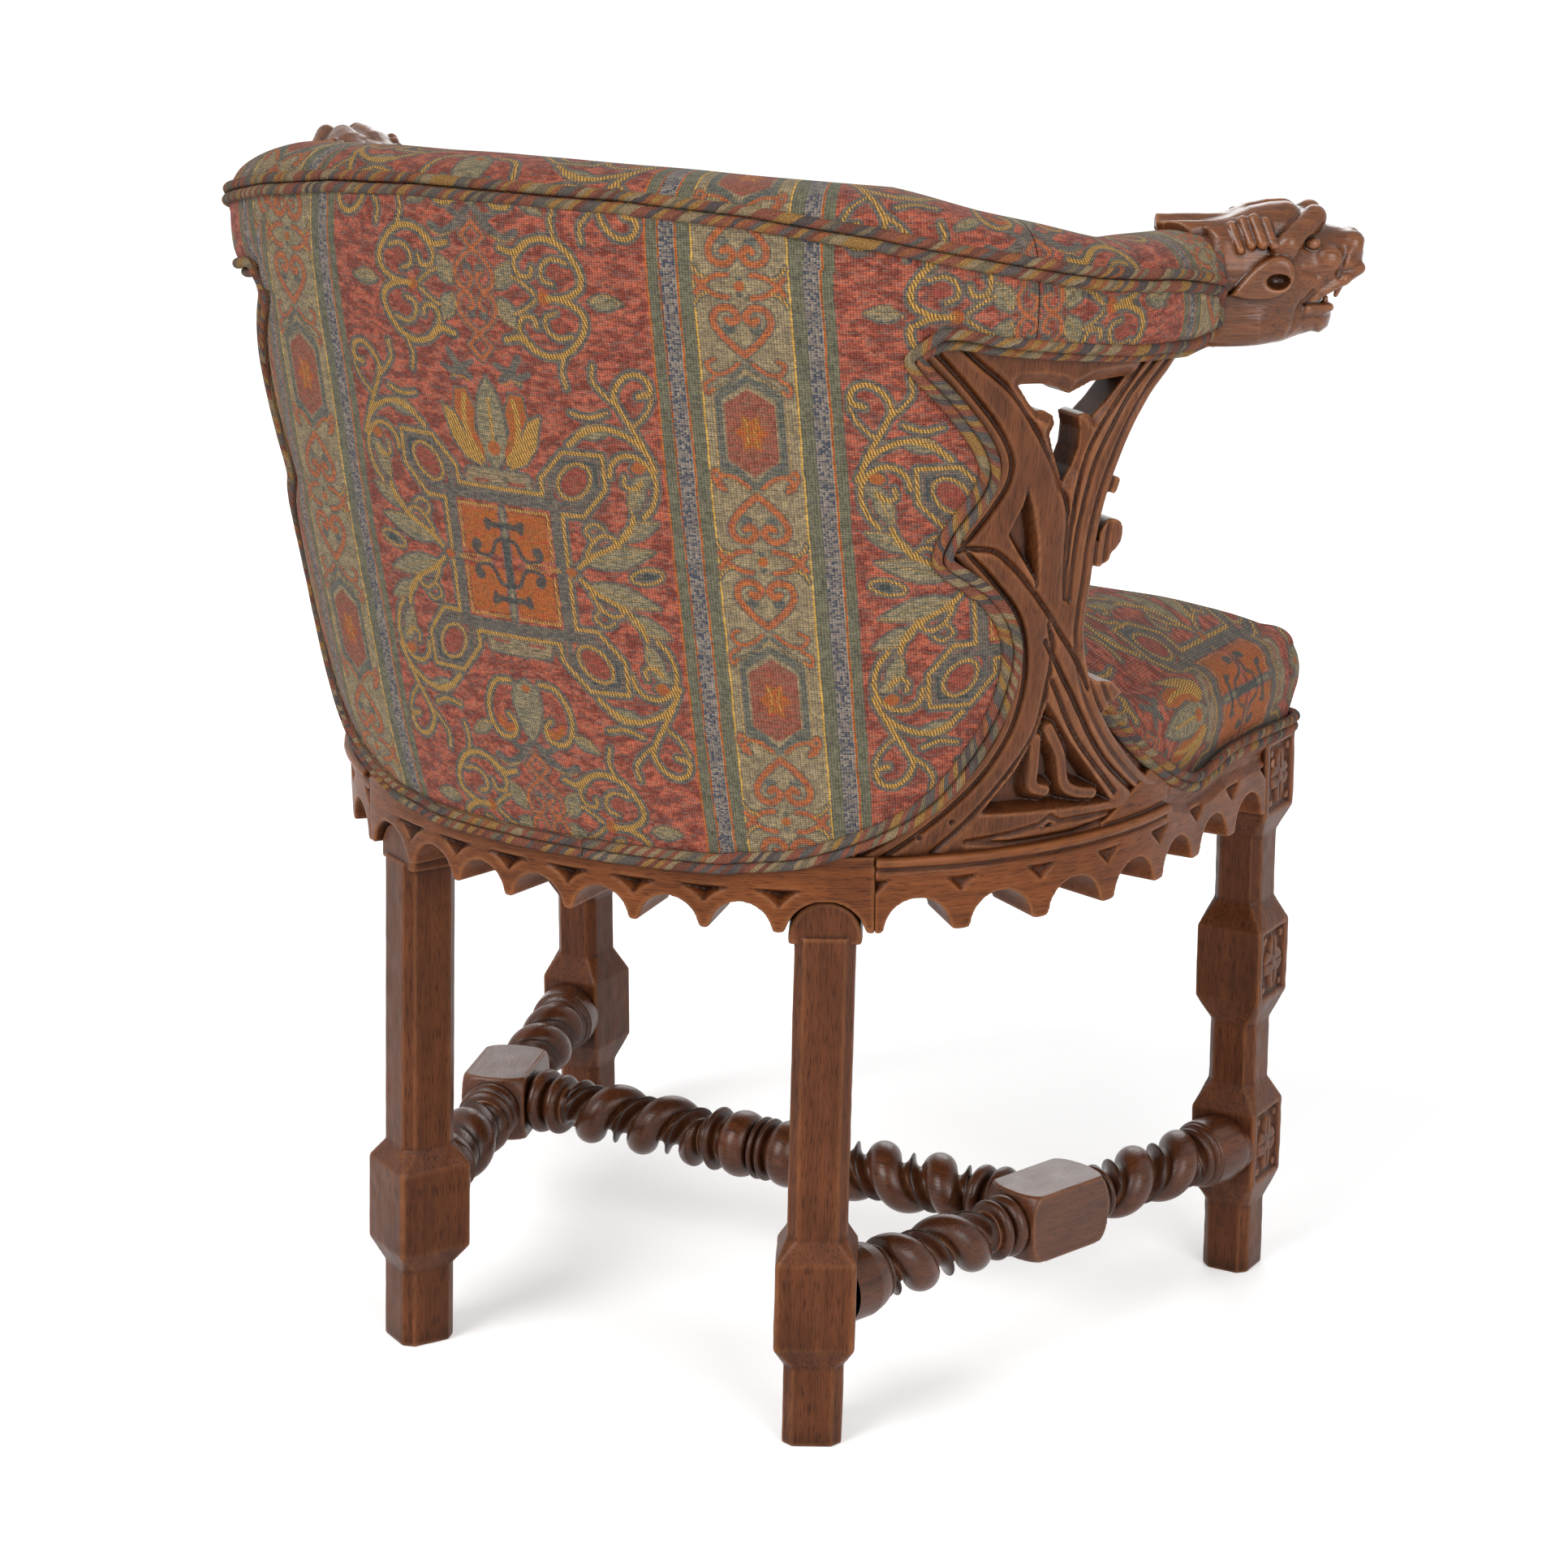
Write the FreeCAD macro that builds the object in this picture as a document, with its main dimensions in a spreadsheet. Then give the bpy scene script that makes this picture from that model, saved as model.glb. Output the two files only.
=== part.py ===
import FreeCAD, Part
import math
import os
from FreeCAD import Placement, Rotation, Vector

# Driving dimensions in millimetres and degrees
SIZES = {
    # Plan of the seat rails at their outer face
    "rail_half_width": 308,
    "rail_corner_centre": 48,
    "rail_rear_angle": 20,
    "rail_rear_y": 217,
    # Plan of the upholstered rim at its outer face
    "rim_half_width": 350,
    "rim_corner_centre": 140,
    "rim_rear_angle": 26.8,
    "rim_rear_y": 268,
    "rim_rise": 407,
    # Seat rails and their arcade
    "pendant_z": 356,
    "rail_height": 52,
    "rail_thickness": 50,
    "rail_joint_angle": 35.6,
    "rear_arch_count": 6,
    "side_arch_count": 7,
    "front_arch_count": 9,
    "pendant_width": 6,
    "arch_centre_drop": 2,
    "archivolt_width": 10,
    "spandrel_width": 24,
    "spandrel_height": 9,
    "spandrel_depth": 4,
    # Tenons, pegs and dowels
    "tenon_length": 20,
    "tenon_thickness": 12,
    "tenon_height": 20,
    "peg_diameter": 6,
    "dowel_diameter": 10,
    "dowel_length": 50,
    "round_tenon_diameter": 22,
    "round_tenon_length": 20,
    # Front legs
    "front_leg_y": -235,
    "front_block_width": 50,
    "front_shaft_width": 36,
    "front_shaft_chamfer": 6,
    "front_low_block_z": 52.5,
    "front_low_block_height": 94.5,
    "front_mid_block_z": 192.5,
    "front_mid_block_height": 93,
    "front_block_slope": 20,
    "front_top_block_height": 73,
    # Rear legs
    "rear_leg_angle": 28.5,
    "rear_leg_inset": 24,
    "rear_leg_rake": 2.75,
    "rear_block_width": 54,
    "rear_shaft_width": 40,
    "rear_shaft_chamfer": 6.5,
    "rear_block_z": 56,
    "rear_block_height": 89.5,
    "rear_block_slope": 15,
    "leg_arch_radius": 27,
    "leg_arch_centre_drop": 5,
    "leg_arch_foot_width": 8,
    "leg_head_gap": 3,
    "leg_head_drop": 7,
    "leg_head_recess": 4,
    "leg_head_depth": 40,
    # Stretchers
    "stretcher_z": 100,
    "collar_diameter": 46,
    "collar_length": 14,
    "bead_diameter": 44,
    "bead_length": 8,
    "neck_diameter": 32,
    "neck_length": 5,
    "twist_diameter": 42,
    "twist_waist": 27,
    "twist_turns": 1.5,
    "middle_block_length": 60,
    "middle_block_width": 46,
    "middle_block_height": 50,
    "middle_block_y": -39,
    "middle_block_edge": 6,
    "cross_boss_diameter": 46,
    "cross_boss_length": 34,
    # Tracery panels, in the plane square to panel_angle
    "panel_angle": 60,
    "panel_thickness": 30,
    "panel_recess": 2,
    "panel_foot_u": -122,
    "panel_toe_u": 126,
    "panel_belly_u": -35,
    "panel_belly_rise": 139,
    "panel_cusp_u": -80,
    "panel_cusp_rise": 210,
    "panel_upper_u": -67,
    "panel_upper_rise": 262,
    "panel_rear_top_u": -112,
    "panel_waist_u": 10,
    "panel_waist_rise": 166,
    "panel_front_top_u": 104,
    "panel_top_rise": 345,
    "pierced_left_u": -47,
    "pierced_right_u": 54,
    "pierced_top_rise": 306,
    "pierced_tip_u": 2,
    "pierced_tip_rise": 240,
    # Top roll and arm pads
    "roll_rear_z": 815,
    "roll_end_z": 758,
    "roll_rear_half_height": 33,
    "roll_end_half_height": 39,
    "roll_half_width": 38,
    "roll_joint_angle": 52,
    "roll_turn_angle": 75,
    "ring_x": 326,
    "ring_y": -43,
    "head_turn": 58,
    "hidden_rail_width": 26,
    "hidden_rail_height": 30,
    # Upholstered back
    "cover_thickness": 12,
    "back_reach_angle": 62,
    "post_angle": 23,
    "post_thickness": 22,
    "post_width": 45,
    "lower_back_rail_rise": 70,
    "lower_back_rail_height": 36,
    "back_strap_width": 50,
    "back_strap_count": 4,
    "strap_thickness": 1.5,
    "back_pad_edge": 22,
    "back_pad_crown": 46,
    # Seat
    "seat_strap_width": 50,
    "seat_strap_count": 5,
    "hessian_thickness": 1,
    "seat_side_overhang": -4,
    "seat_front_overhang": 7,
    "seat_edge_height": 64,
    "seat_crown_height": 104,
    "seat_corner_radius": 24,
    "seat_base_inset": 6,
    "seat_back_clearance": 6,
    "corner_block_leg": 70,
    "corner_block_height": 36,
    # Beast heads
    "head_neck_radius": 37,
    "head_neck_length": 46,
    "head_dowel_diameter": 16,
    "head_dowel_length": 50,
    "clearance": 0.3,
}

doc = FreeCAD.newDocument("armchair")
sheet = doc.addObject("Spreadsheet::Sheet", "sizes")
for row, (alias, value) in enumerate(SIZES.items(), start=1):
    sheet.set(f"A{row}", alias)
    sheet.set(f"B{row}", str(value))
    sheet.setAlias(f"B{row}", alias)
doc.recompute()

UP = Vector(0, 0, 1)
# Length by which a raked leg is left too long before it is cut level
FLOOR_ALLOWANCE = 20
# Length of cutting solids, more than any piece is thick
THROUGH = 200


def size(alias):
    """Number held by a cell of the sheet."""
    return float(sheet.get(alias))


def bind(item, **cells):
    """Tie properties of an object to cells or to sums of cells."""
    for name, expression in cells.items():
        item.setExpression(name, expression)


def solid_of(name, shape):
    item = doc.addObject("Part::Feature", name)
    item.Shape = shape
    return item


def fuse(name, parts):
    item = doc.addObject("Part::MultiFuse", name)
    item.Shapes = parts
    return item


def cut(name, base, tools):
    item = doc.addObject("Part::Cut", name)
    item.Base = base
    item.Tool = tools[0] if len(tools) == 1 else fuse(name + "_tools", tools)
    return item


def common(name, base, tool):
    item = doc.addObject("Part::Common", name)
    item.Base = base
    item.Tool = tool
    return item


def mirror(name, source):
    """Left-hand twin of a right-hand piece."""
    item = doc.addObject("Part::Mirroring", name)
    item.Source = source
    item.Normal = Vector(1, 0, 0)
    return item


def cylinder(name, diameter_cell, length, base, direction):
    item = doc.addObject("Part::Cylinder", name)
    bind(item, Radius=f"sizes.{diameter_cell} / 2")
    item.Height = length
    item.Placement = Placement(base, Rotation(UP, direction))
    return item


def box(name, sides, corner, turn=Rotation()):
    item = doc.addObject("Part::Box", name)
    item.Length, item.Width, item.Height = sides
    item.Placement = Placement(corner, turn)
    return item


class Plan:
    """Outer face seen from above: a flat rear arc, two corner arcs and straight sides.

    Angles are those of the outward normal, from the rear towards the sitter's right (-X).
    """

    def __init__(self, half_width, corner_centre, rear_angle, rear_y):
        self.rear_angle = rear_angle
        self.corner_radius = half_width - corner_centre
        self.rear_radius = self.corner_radius + corner_centre / math.sin(math.radians(rear_angle))
        self.rear_centre = Vector(0, rear_y - self.rear_radius, 0)
        step = self.rear_radius - self.corner_radius
        self.corner_x = corner_centre
        self.corner_y = self.rear_centre.y + step * math.cos(math.radians(rear_angle))

    def point(self, angle, inset=0, z=0):
        if abs(angle) <= self.rear_angle:
            centre = self.rear_centre
            radius = self.rear_radius - inset
        else:
            centre = Vector(-math.copysign(self.corner_x, angle), self.corner_y, 0)
            radius = self.corner_radius - inset
        return centre + normal(angle) * radius + UP * z

    def arcs(self, start, end, inset, z):
        """Arcs of the line at this inset, from one normal angle to another."""
        stops = [s for s in (-self.rear_angle, self.rear_angle) if min(start, end) < s < max(start, end)]
        if start > end:
            stops.reverse()
        marks = [start] + stops + [end]
        spans = zip(marks, marks[1:])
        return [
            Part.Arc(self.point(a, inset, z), self.point((a + b) / 2, inset, z), self.point(b, inset, z))
            for a, b in spans
        ]

    def station(self, distance):
        """Normal angle and forward run at a distance along the outer face from the rear middle."""
        rear = self.rear_radius * math.radians(self.rear_angle)
        corner = self.corner_radius * math.radians(90 - self.rear_angle)
        side = math.copysign(1, distance)
        run = abs(distance)
        if run <= rear:
            return side * math.degrees(run / self.rear_radius), 0
        if run <= rear + corner:
            return side * (self.rear_angle + math.degrees((run - rear) / self.corner_radius)), 0
        return side * 90, run - rear - corner

    def distance(self, angle):
        rear = self.rear_radius * math.radians(min(angle, self.rear_angle))
        return rear + self.corner_radius * math.radians(max(angle - self.rear_angle, 0))


def normal(angle):
    return Vector(-math.sin(math.radians(angle)), math.cos(math.radians(angle)), 0)


def along(angle):
    """Direction in which the plan runs, towards the front on the sitter's right."""
    return Vector(-math.cos(math.radians(angle)), -math.sin(math.radians(angle)), 0)


RAIL_TOP = size("pendant_z") + size("rail_height")
RIM_Z = RAIL_TOP + size("rim_rise")
PLAN_KEYS = ("half_width", "corner_centre", "rear_angle", "rear_y")


def plan_at(z):
    """The flaring plan at a height: the rail's up to the rail top, the rim's at the rim."""
    share = max(0, (z - RAIL_TOP) / size("rim_rise"))
    low = [size("rail_" + key) for key in PLAN_KEYS]
    high = [size("rim_" + key) for key in PLAN_KEYS]
    return Plan(*[a + (b - a) * share for a, b in zip(low, high)])


RAIL = plan_at(0)
RIM = plan_at(RIM_Z)


def segment(a, b):
    return Part.LineSegment(a, b)


def wire_of(curves):
    return Part.Wire([curve.toShape() for curve in curves])


def band(plan, start, end, outer, inner, z):
    """Closed outline between two insets of a plan."""
    forth = plan.arcs(start, end, outer, z)
    back = plan.arcs(end, start, inner, z)
    ends = (plan.point(end, outer, z), plan.point(end, inner, z))
    starts = (plan.point(start, inner, z), plan.point(start, outer, z))
    return forth + [segment(*ends)] + back + [segment(*starts)]


def shell(name, start, end, levels):
    """Solid through bands, each level being a height, an outer and an inner inset."""
    wires = [wire_of(band(plan_at(z), start, end, outer, inner, z)) for z, outer, inner in levels]
    return solid_of(name, Part.makeLoft(wires, True, True))


def sketch_in(body, name, curves, height_cell=None):
    sketch = body.newObject("Sketcher::SketchObject", name)
    plane = [item for item in body.Origin.OriginFeatures if item.Role == "XY_Plane"][0]
    sketch.AttachmentSupport = [(plane, "")]
    sketch.MapMode = "FlatFace"
    if height_cell:
        bind(sketch, **{".AttachmentOffset.Base.z": height_cell})
    for curve in curves:
        sketch.addGeometry(curve)
    return sketch


def padded_outline(name, curves, height_cell, length_cell):
    """Body padded upwards from a flat outline."""
    body = doc.addObject("PartDesign::Body", name)
    sketch = sketch_in(body, name + "_outline", curves, height_cell)
    pad = body.newObject("PartDesign::Pad", name + "_pad")
    pad.Profile = sketch
    bind(pad, Length=length_cell)
    return body


def polygon(points):
    return [segment(a, b) for a, b in zip(points, points[1:] + points[:1])]


# Legs

def leg_body(name, kind, length_cell, blocks):
    """Chamfered square shaft with square blocks that taper into it at both ends."""
    half = size(kind + "_shaft_width") / 2
    corners = [Vector(-half, -half, 0), Vector(half, -half, 0), Vector(half, half, 0), Vector(-half, half, 0)]
    body = padded_outline(name, polygon(corners), None, length_cell)
    doc.recompute()
    pad = body.Tip
    upright = [
        f"Edge{number}"
        for number, edge in enumerate(pad.Shape.Edges, start=1)
        if abs(edge.Vertexes[0].Z - edge.Vertexes[-1].Z) > half
    ]
    chamfer = body.newObject("PartDesign::Chamfer", name + "_chamfer")
    chamfer.Base = (pad, upright)
    bind(chamfer, Size=f"sizes.{kind}_shaft_chamfer")
    for number, (bottom, height, tapers) in enumerate(blocks):
        leg_block(body, f"{name}_block_{number}", kind, bottom, height, tapers)
    return body


def leg_block(body, name, kind, bottom, height, tapers):
    width = size(kind + "_block_width")
    slope = size(kind + "_block_slope")
    foot = slope if tapers[0] else 0
    head = slope if tapers[1] else 0
    core = body.newObject("PartDesign::AdditiveBox", name)
    bind(core, Length=f"sizes.{kind}_block_width", Width=f"sizes.{kind}_block_width")
    core.Height = height - foot - head
    core.Placement = Placement(Vector(-width / 2, -width / 2, bottom + foot), Rotation())
    if foot:
        leg_taper(body, name + "_foot", kind, Placement(Vector(0, 0, bottom), Rotation(Vector(1, 0, 0), 90)))
    if head:
        top = Vector(0, 0, bottom + height)
        leg_taper(body, name + "_head", kind, Placement(top, Rotation(Vector(1, 0, 0), -90)))


def leg_taper(body, name, kind, place):
    taper = body.newObject("PartDesign::AdditiveWedge", name)
    shaft = f"sizes.{kind}_shaft_width / 2"
    block = f"sizes.{kind}_block_width / 2"
    bind(taper, Xmax=shaft, Zmax=shaft, X2max=block, Z2max=block, Ymax=f"sizes.{kind}_block_slope")
    bind(taper, Xmin="-" + shaft, Zmin="-" + shaft, X2min="-" + block, Z2min="-" + block)
    taper.Ymin = 0
    taper.Placement = place


FRONT_X = size("rail_half_width") - size("front_block_width") / 2
FRONT_BACK_Y = size("front_leg_y") + size("front_block_width") / 2
FRONT_FACE_Y = size("front_leg_y") - size("front_block_width") / 2


def front_leg_whole():
    top_bottom = RAIL_TOP - size("front_top_block_height")
    blocks = [
        (size("front_low_block_z"), size("front_low_block_height"), (True, True)),
        (size("front_mid_block_z"), size("front_mid_block_height"), (True, True)),
        (top_bottom, size("front_top_block_height"), (True, False)),
    ]
    body = leg_body("front_leg_whole", "front", "sizes.pendant_z + sizes.rail_height", blocks)
    body.Placement = Placement(Vector(-FRONT_X, size("front_leg_y"), 0), Rotation())
    return body


def rear_leg_frame(z):
    """Middle of the right rear leg at a height; the leg leans back below its head."""
    middle = RAIL.point(size("rear_leg_angle"), size("rear_leg_inset"), z)
    lean = math.tan(math.radians(size("rear_leg_rake")))
    return middle + Vector(0, (size("pendant_z") - z) * lean, 0)


def rear_leg_whole():
    """Raked leg, cut level at the floor, under an upright head that stands in the rail's arch."""
    drop = FLOOR_ALLOWANCE
    block = (size("rear_block_z") + drop, size("rear_block_height"), (True, True))
    length = f"sizes.pendant_z + {drop}"
    body = leg_body("rear_leg_shaft", "rear", length, [block])
    lean = Rotation(Vector(1, 0, 0), size("rear_leg_rake"))
    turn = Rotation(UP, size("rear_leg_angle"))
    body.Placement = Placement(rear_leg_frame(-drop), lean.multiply(turn))
    below = Vector(THROUGH / 2, THROUGH / 2, THROUGH)
    floor = box("rear_leg_floor", (THROUGH, THROUGH, THROUGH), rear_leg_frame(0) - below)
    shaft = cut("rear_leg_level", body, [floor])
    radius = size("leg_arch_radius") - size("leg_head_gap")
    face = RAIL.point(size("rear_leg_angle"), size("leg_head_recess") + size("leg_head_depth"))
    across = along(size("rear_leg_angle"))
    spring = size("pendant_z") - size("leg_arch_centre_drop")
    bottom = size("pendant_z") - size("leg_head_drop")
    arch = doc.addObject("Part::Cylinder", "rear_leg_arch")
    bind(arch, Radius="sizes.leg_arch_radius - sizes.leg_head_gap", Height="sizes.leg_head_depth")
    arch.Placement = Placement(face + UP * spring, Rotation(UP, normal(size("rear_leg_angle"))))
    lower_half = box("rear_leg_arch_below", (THROUGH, THROUGH, THROUGH), face + UP * bottom - below)
    corner = face + across * radius + UP * bottom
    stem_height = max(spring - bottom, size("clearance"))
    stem = box("rear_leg_stem", (2 * radius, size("leg_head_depth"), stem_height), corner, turn)
    head = cut("rear_leg_head", arch, [lower_half])
    tenon = rear_leg_tenon("rear_leg_tenon")
    return fuse("rear_leg_whole", [shaft, head, stem, tenon])


def rear_leg_tenon(name):
    """Square tenon on the leg head, up into the rail."""
    side = size("tenon_thickness")
    spring = size("pendant_z") - size("leg_arch_centre_drop")
    top = spring + size("leg_arch_radius") + size("tenon_height") / 2
    angle = size("rear_leg_angle")
    middle = RAIL.point(angle, size("leg_head_recess") + size("leg_head_depth") / 2)
    corner = middle + along(angle) * (side / 2) - normal(angle) * (side / 2) + UP * spring
    return box(name, (side, side, top - spring), corner, Rotation(UP, angle))


# Seat rails

def arch_cutter(name, station, radius, drop):
    """Round arch cut through the rail, square to its face."""
    angle, forward = station
    base = RAIL.point(angle) - Vector(0, forward, 0) - normal(angle) * (size("rail_thickness") * 1.5)
    base.z = size("pendant_z") - drop
    item = doc.addObject("Part::Cylinder", name)
    item.Radius = radius
    item.Height = size("rail_thickness") * 2
    item.Placement = Placement(base, Rotation(UP, normal(angle)))
    return item


def spandrel_cutter(name, station, crown):
    """Sunk triangle between two arches, point down."""
    angle, forward = station
    item = doc.addObject("Part::Wedge", name)
    bind(item, Xmax="sizes.spandrel_width / 2", Xmin="-sizes.spandrel_width / 2")
    bind(item, Ymax="sizes.spandrel_height", Zmax="2 * sizes.spandrel_depth", Z2max="2 * sizes.spandrel_depth")
    item.X2min = item.X2max = 0
    item.Ymin = item.Zmin = item.Z2min = 0
    base = RAIL.point(angle, size("spandrel_depth")) - Vector(0, forward, 0)
    base.z = crown + size("archivolt_width")
    item.Placement = Placement(base, Rotation(along(angle) * -1, UP * -1, normal(angle)))
    return item


def arcade(name, first, last, count, ends):
    """Arches and sunk triangles between two distances along the rail."""
    pitch = (last - first) / count
    radius = (pitch - size("pendant_width")) / 2
    drop = size("arch_centre_drop")
    crown = size("pendant_z") - drop + radius
    tools = []
    for number in range(int(count)):
        station = RAIL.station(first + pitch * (number + 0.5))
        tools.append(arch_cutter(f"{name}_arch_{number}", station, radius, drop))
    for number in range(1 - ends[0], int(count) + ends[1]):
        station = RAIL.station(first + pitch * number)
        tools.append(spandrel_cutter(f"{name}_spandrel_{number}", station, crown))
    return tools


LEG_DISTANCE = RAIL.distance(size("rear_leg_angle"))
LEG_ARCH_HALF = size("leg_arch_radius") + size("leg_arch_foot_width") / 2
SIDE_START = LEG_DISTANCE + LEG_ARCH_HALF
SIDE_END = RAIL.distance(90) + RAIL.corner_y - FRONT_BACK_Y


def rail_dowel(name):
    """Dowel across the joint of rear and side rail."""
    angle = size("rail_joint_angle")
    middle = RAIL.point(angle, size("rail_thickness") / 2, RAIL_TOP - size("dowel_diameter"))
    start = middle - along(angle) * (size("dowel_length") / 2)
    return cylinder(name, "dowel_diameter", size("dowel_length"), start, along(angle))


def rear_rail(dowel, leg_tenon):
    joint = size("rail_joint_angle")
    outline = band(RAIL, -joint, joint, 0, size("rail_thickness"), 0)
    body = padded_outline("rear_rail_blank", outline, "sizes.pendant_z", "sizes.rail_height")
    inner = LEG_DISTANCE - LEG_ARCH_HALF
    tools = arcade("rear", -inner, inner, size("rear_arch_count"), (1, 1))
    for side in (-1, 1):
        station = (side * size("rear_leg_angle"), 0)
        tools.append(arch_cutter(f"rear_leg_arch_{side + 1}", station, size("leg_arch_radius"),
                                 size("leg_arch_centre_drop")))
    tools += [dowel, mirror("rear_dowel_bore", dowel), leg_tenon, mirror("rear_tenon_bore", leg_tenon)]
    return cut("rear_seat_rail", body, tools)


def side_tenon(name):
    """Tenon of the side rail in the front leg."""
    x = -(size("rail_half_width") - size("front_block_width") / 2) - size("tenon_thickness") / 2
    z = RAIL_TOP - size("tenon_height") - size("tenon_thickness")
    sides = (size("tenon_thickness"), size("tenon_length"), size("tenon_height"))
    return box(name, sides, Vector(x, FRONT_BACK_Y - size("tenon_length"), z))


def front_tenon(name):
    """Tenon of the front rail in the right front leg."""
    x = -(FRONT_X - size("front_block_width") / 2) - size("tenon_length")
    y = FRONT_FACE_Y + size("front_block_width") / 2 - size("tenon_thickness")
    z = RAIL_TOP - size("tenon_height") - size("tenon_thickness")
    return box(name, (size("tenon_length"), size("tenon_thickness"), size("tenon_height")), Vector(x, y, z))


def tenon_peg_pair():
    """Pegs through the two tenons of the right front leg."""
    width = size("front_block_width")
    side_z = RAIL_TOP - size("tenon_thickness") - size("tenon_height") / 4
    front_z = RAIL_TOP - size("tenon_thickness") - size("tenon_height") * 3 / 4
    outer = Vector(-size("rail_half_width"), FRONT_BACK_Y - size("tenon_length") / 2, side_z)
    face_x = -(FRONT_X - width / 2) - size("tenon_length") / 2
    front = Vector(face_x, FRONT_FACE_Y, front_z)
    return [
        cylinder("side_peg", "peg_diameter", width, outer, Vector(1, 0, 0)),
        cylinder("front_peg", "peg_diameter", width, front, Vector(0, 1, 0)),
    ]


def side_rail(dowel, pegs):
    joint = size("rail_joint_angle")
    thick = size("rail_thickness")
    end_outer = Vector(-size("rail_half_width"), FRONT_BACK_Y, 0)
    end_inner = Vector(-size("rail_half_width") + thick, FRONT_BACK_Y, 0)
    outline = RAIL.arcs(joint, 90, 0, 0)
    outline += [segment(RAIL.point(90), end_outer), segment(end_outer, end_inner)]
    outline += [segment(end_inner, RAIL.point(90, thick))] + RAIL.arcs(90, joint, thick, 0)
    outline += [segment(RAIL.point(joint, thick), RAIL.point(joint))]
    body = padded_outline("side_rail_blank", outline, "sizes.pendant_z", "sizes.rail_height")
    tools = arcade("side", SIDE_START, SIDE_END, size("side_arch_count"), (0, 0))
    shaped = cut("side_rail_shaped", body, tools + [dowel])
    whole = fuse("side_rail_whole", [shaped, side_tenon("side_tenon")])
    return cut("right_seat_rail", whole, [pegs[0]])


def front_rail(pegs):
    """Straight front rail with the same arcade, between the front legs."""
    half = FRONT_X - size("front_block_width") / 2
    thick = size("rail_thickness")
    corners = [Vector(-half, FRONT_FACE_Y, 0), Vector(half, FRONT_FACE_Y, 0)]
    corners += [Vector(half, FRONT_FACE_Y + thick, 0), Vector(-half, FRONT_FACE_Y + thick, 0)]
    body = padded_outline("front_rail_blank", polygon(corners), "sizes.pendant_z", "sizes.rail_height")
    count = int(size("front_arch_count"))
    pitch = 2 * half / count
    tools = []
    for number in range(count):
        item = doc.addObject("Part::Cylinder", f"front_arch_{number}")
        item.Radius = (pitch - size("pendant_width")) / 2
        bind(item, Height="2 * sizes.rail_thickness")
        base = Vector(-half + pitch * (number + 0.5), FRONT_FACE_Y - thick / 2,
                      size("pendant_z") - size("arch_centre_drop"))
        item.Placement = Placement(base, Rotation(UP, Vector(0, 1, 0)))
        tools.append(item)
    shaped = cut("front_rail_shaped", body, tools)
    right = front_tenon("front_tenon")
    whole = fuse("front_rail_whole", [shaped, right, mirror("front_tenon_left", right)])
    return cut("front_seat_rail", whole, [pegs[1], mirror("front_peg_left", pegs[1])])


# Stretchers

TWIST_POINTS = 16
TWIST_SECTIONS_PER_TURN = 14
TWIST_FEWEST_SECTIONS = 6


def twist(name, start, length, turns, place):
    """Two-lobed rope twist: square-cut sections, each a little turned, joined by ruled faces."""
    sections = 1 + max(TWIST_FEWEST_SECTIONS, round(abs(turns) * TWIST_SECTIONS_PER_TURN))
    middle = (size("twist_diameter") + size("twist_waist")) / 4
    swing = (size("twist_diameter") - size("twist_waist")) / 4
    wires = []
    for number in range(sections):
        share = number / (sections - 1)
        turn = 2 * math.pi * turns * share
        ring = []
        for step in range(TWIST_POINTS):
            angle = 2 * math.pi * step / TWIST_POINTS
            radius = middle + swing * math.cos(2 * angle)
            offset = Vector(0, math.cos(angle + turn) * radius, math.sin(angle + turn) * radius)
            ring.append(Vector(start + length * share, 0, 0) + offset)
        wires.append(Part.makePolygon(ring + ring[:1]))
    item = solid_of(name, Part.makeLoft(wires, True, True))
    item.Placement = place
    return item


def turned(name, diameter_cell, start, length, place):
    """Turned collar, bead or neck on the stretcher's axis, which is the local X axis."""
    item = doc.addObject("Part::Cylinder", name)
    bind(item, Radius=f"sizes.{diameter_cell} / 2")
    item.Height = length
    local = Placement(Vector(start, 0, 0), Rotation(UP, Vector(1, 0, 0)))
    item.Placement = place.multiply(local)
    return item


def spindle(name, start, end, turns, place):
    """Bead, neck, twist, neck and bead between two ends along the axis."""
    bead = size("bead_length")
    neck = size("neck_length")
    run = end - start - 2 * (bead + neck)
    return [
        turned(name + "_bead_a", "bead_diameter", start, bead, place),
        turned(name + "_neck_a", "neck_diameter", start + bead, neck, place),
        twist(name + "_twist", start + bead + neck, run, turns, place),
        turned(name + "_neck_b", "neck_diameter", end - bead - neck, neck, place),
        turned(name + "_bead_b", "bead_diameter", end - bead, bead, place),
    ]


def stretcher_line():
    """Right side stretcher: its start at the front leg, its direction and its length."""
    front = Vector(-FRONT_X, FRONT_BACK_Y, size("stretcher_z"))
    rear = rear_leg_frame(size("stretcher_z"))
    line = rear - front
    length = line.Length
    return front, line.normalize(), length


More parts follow.
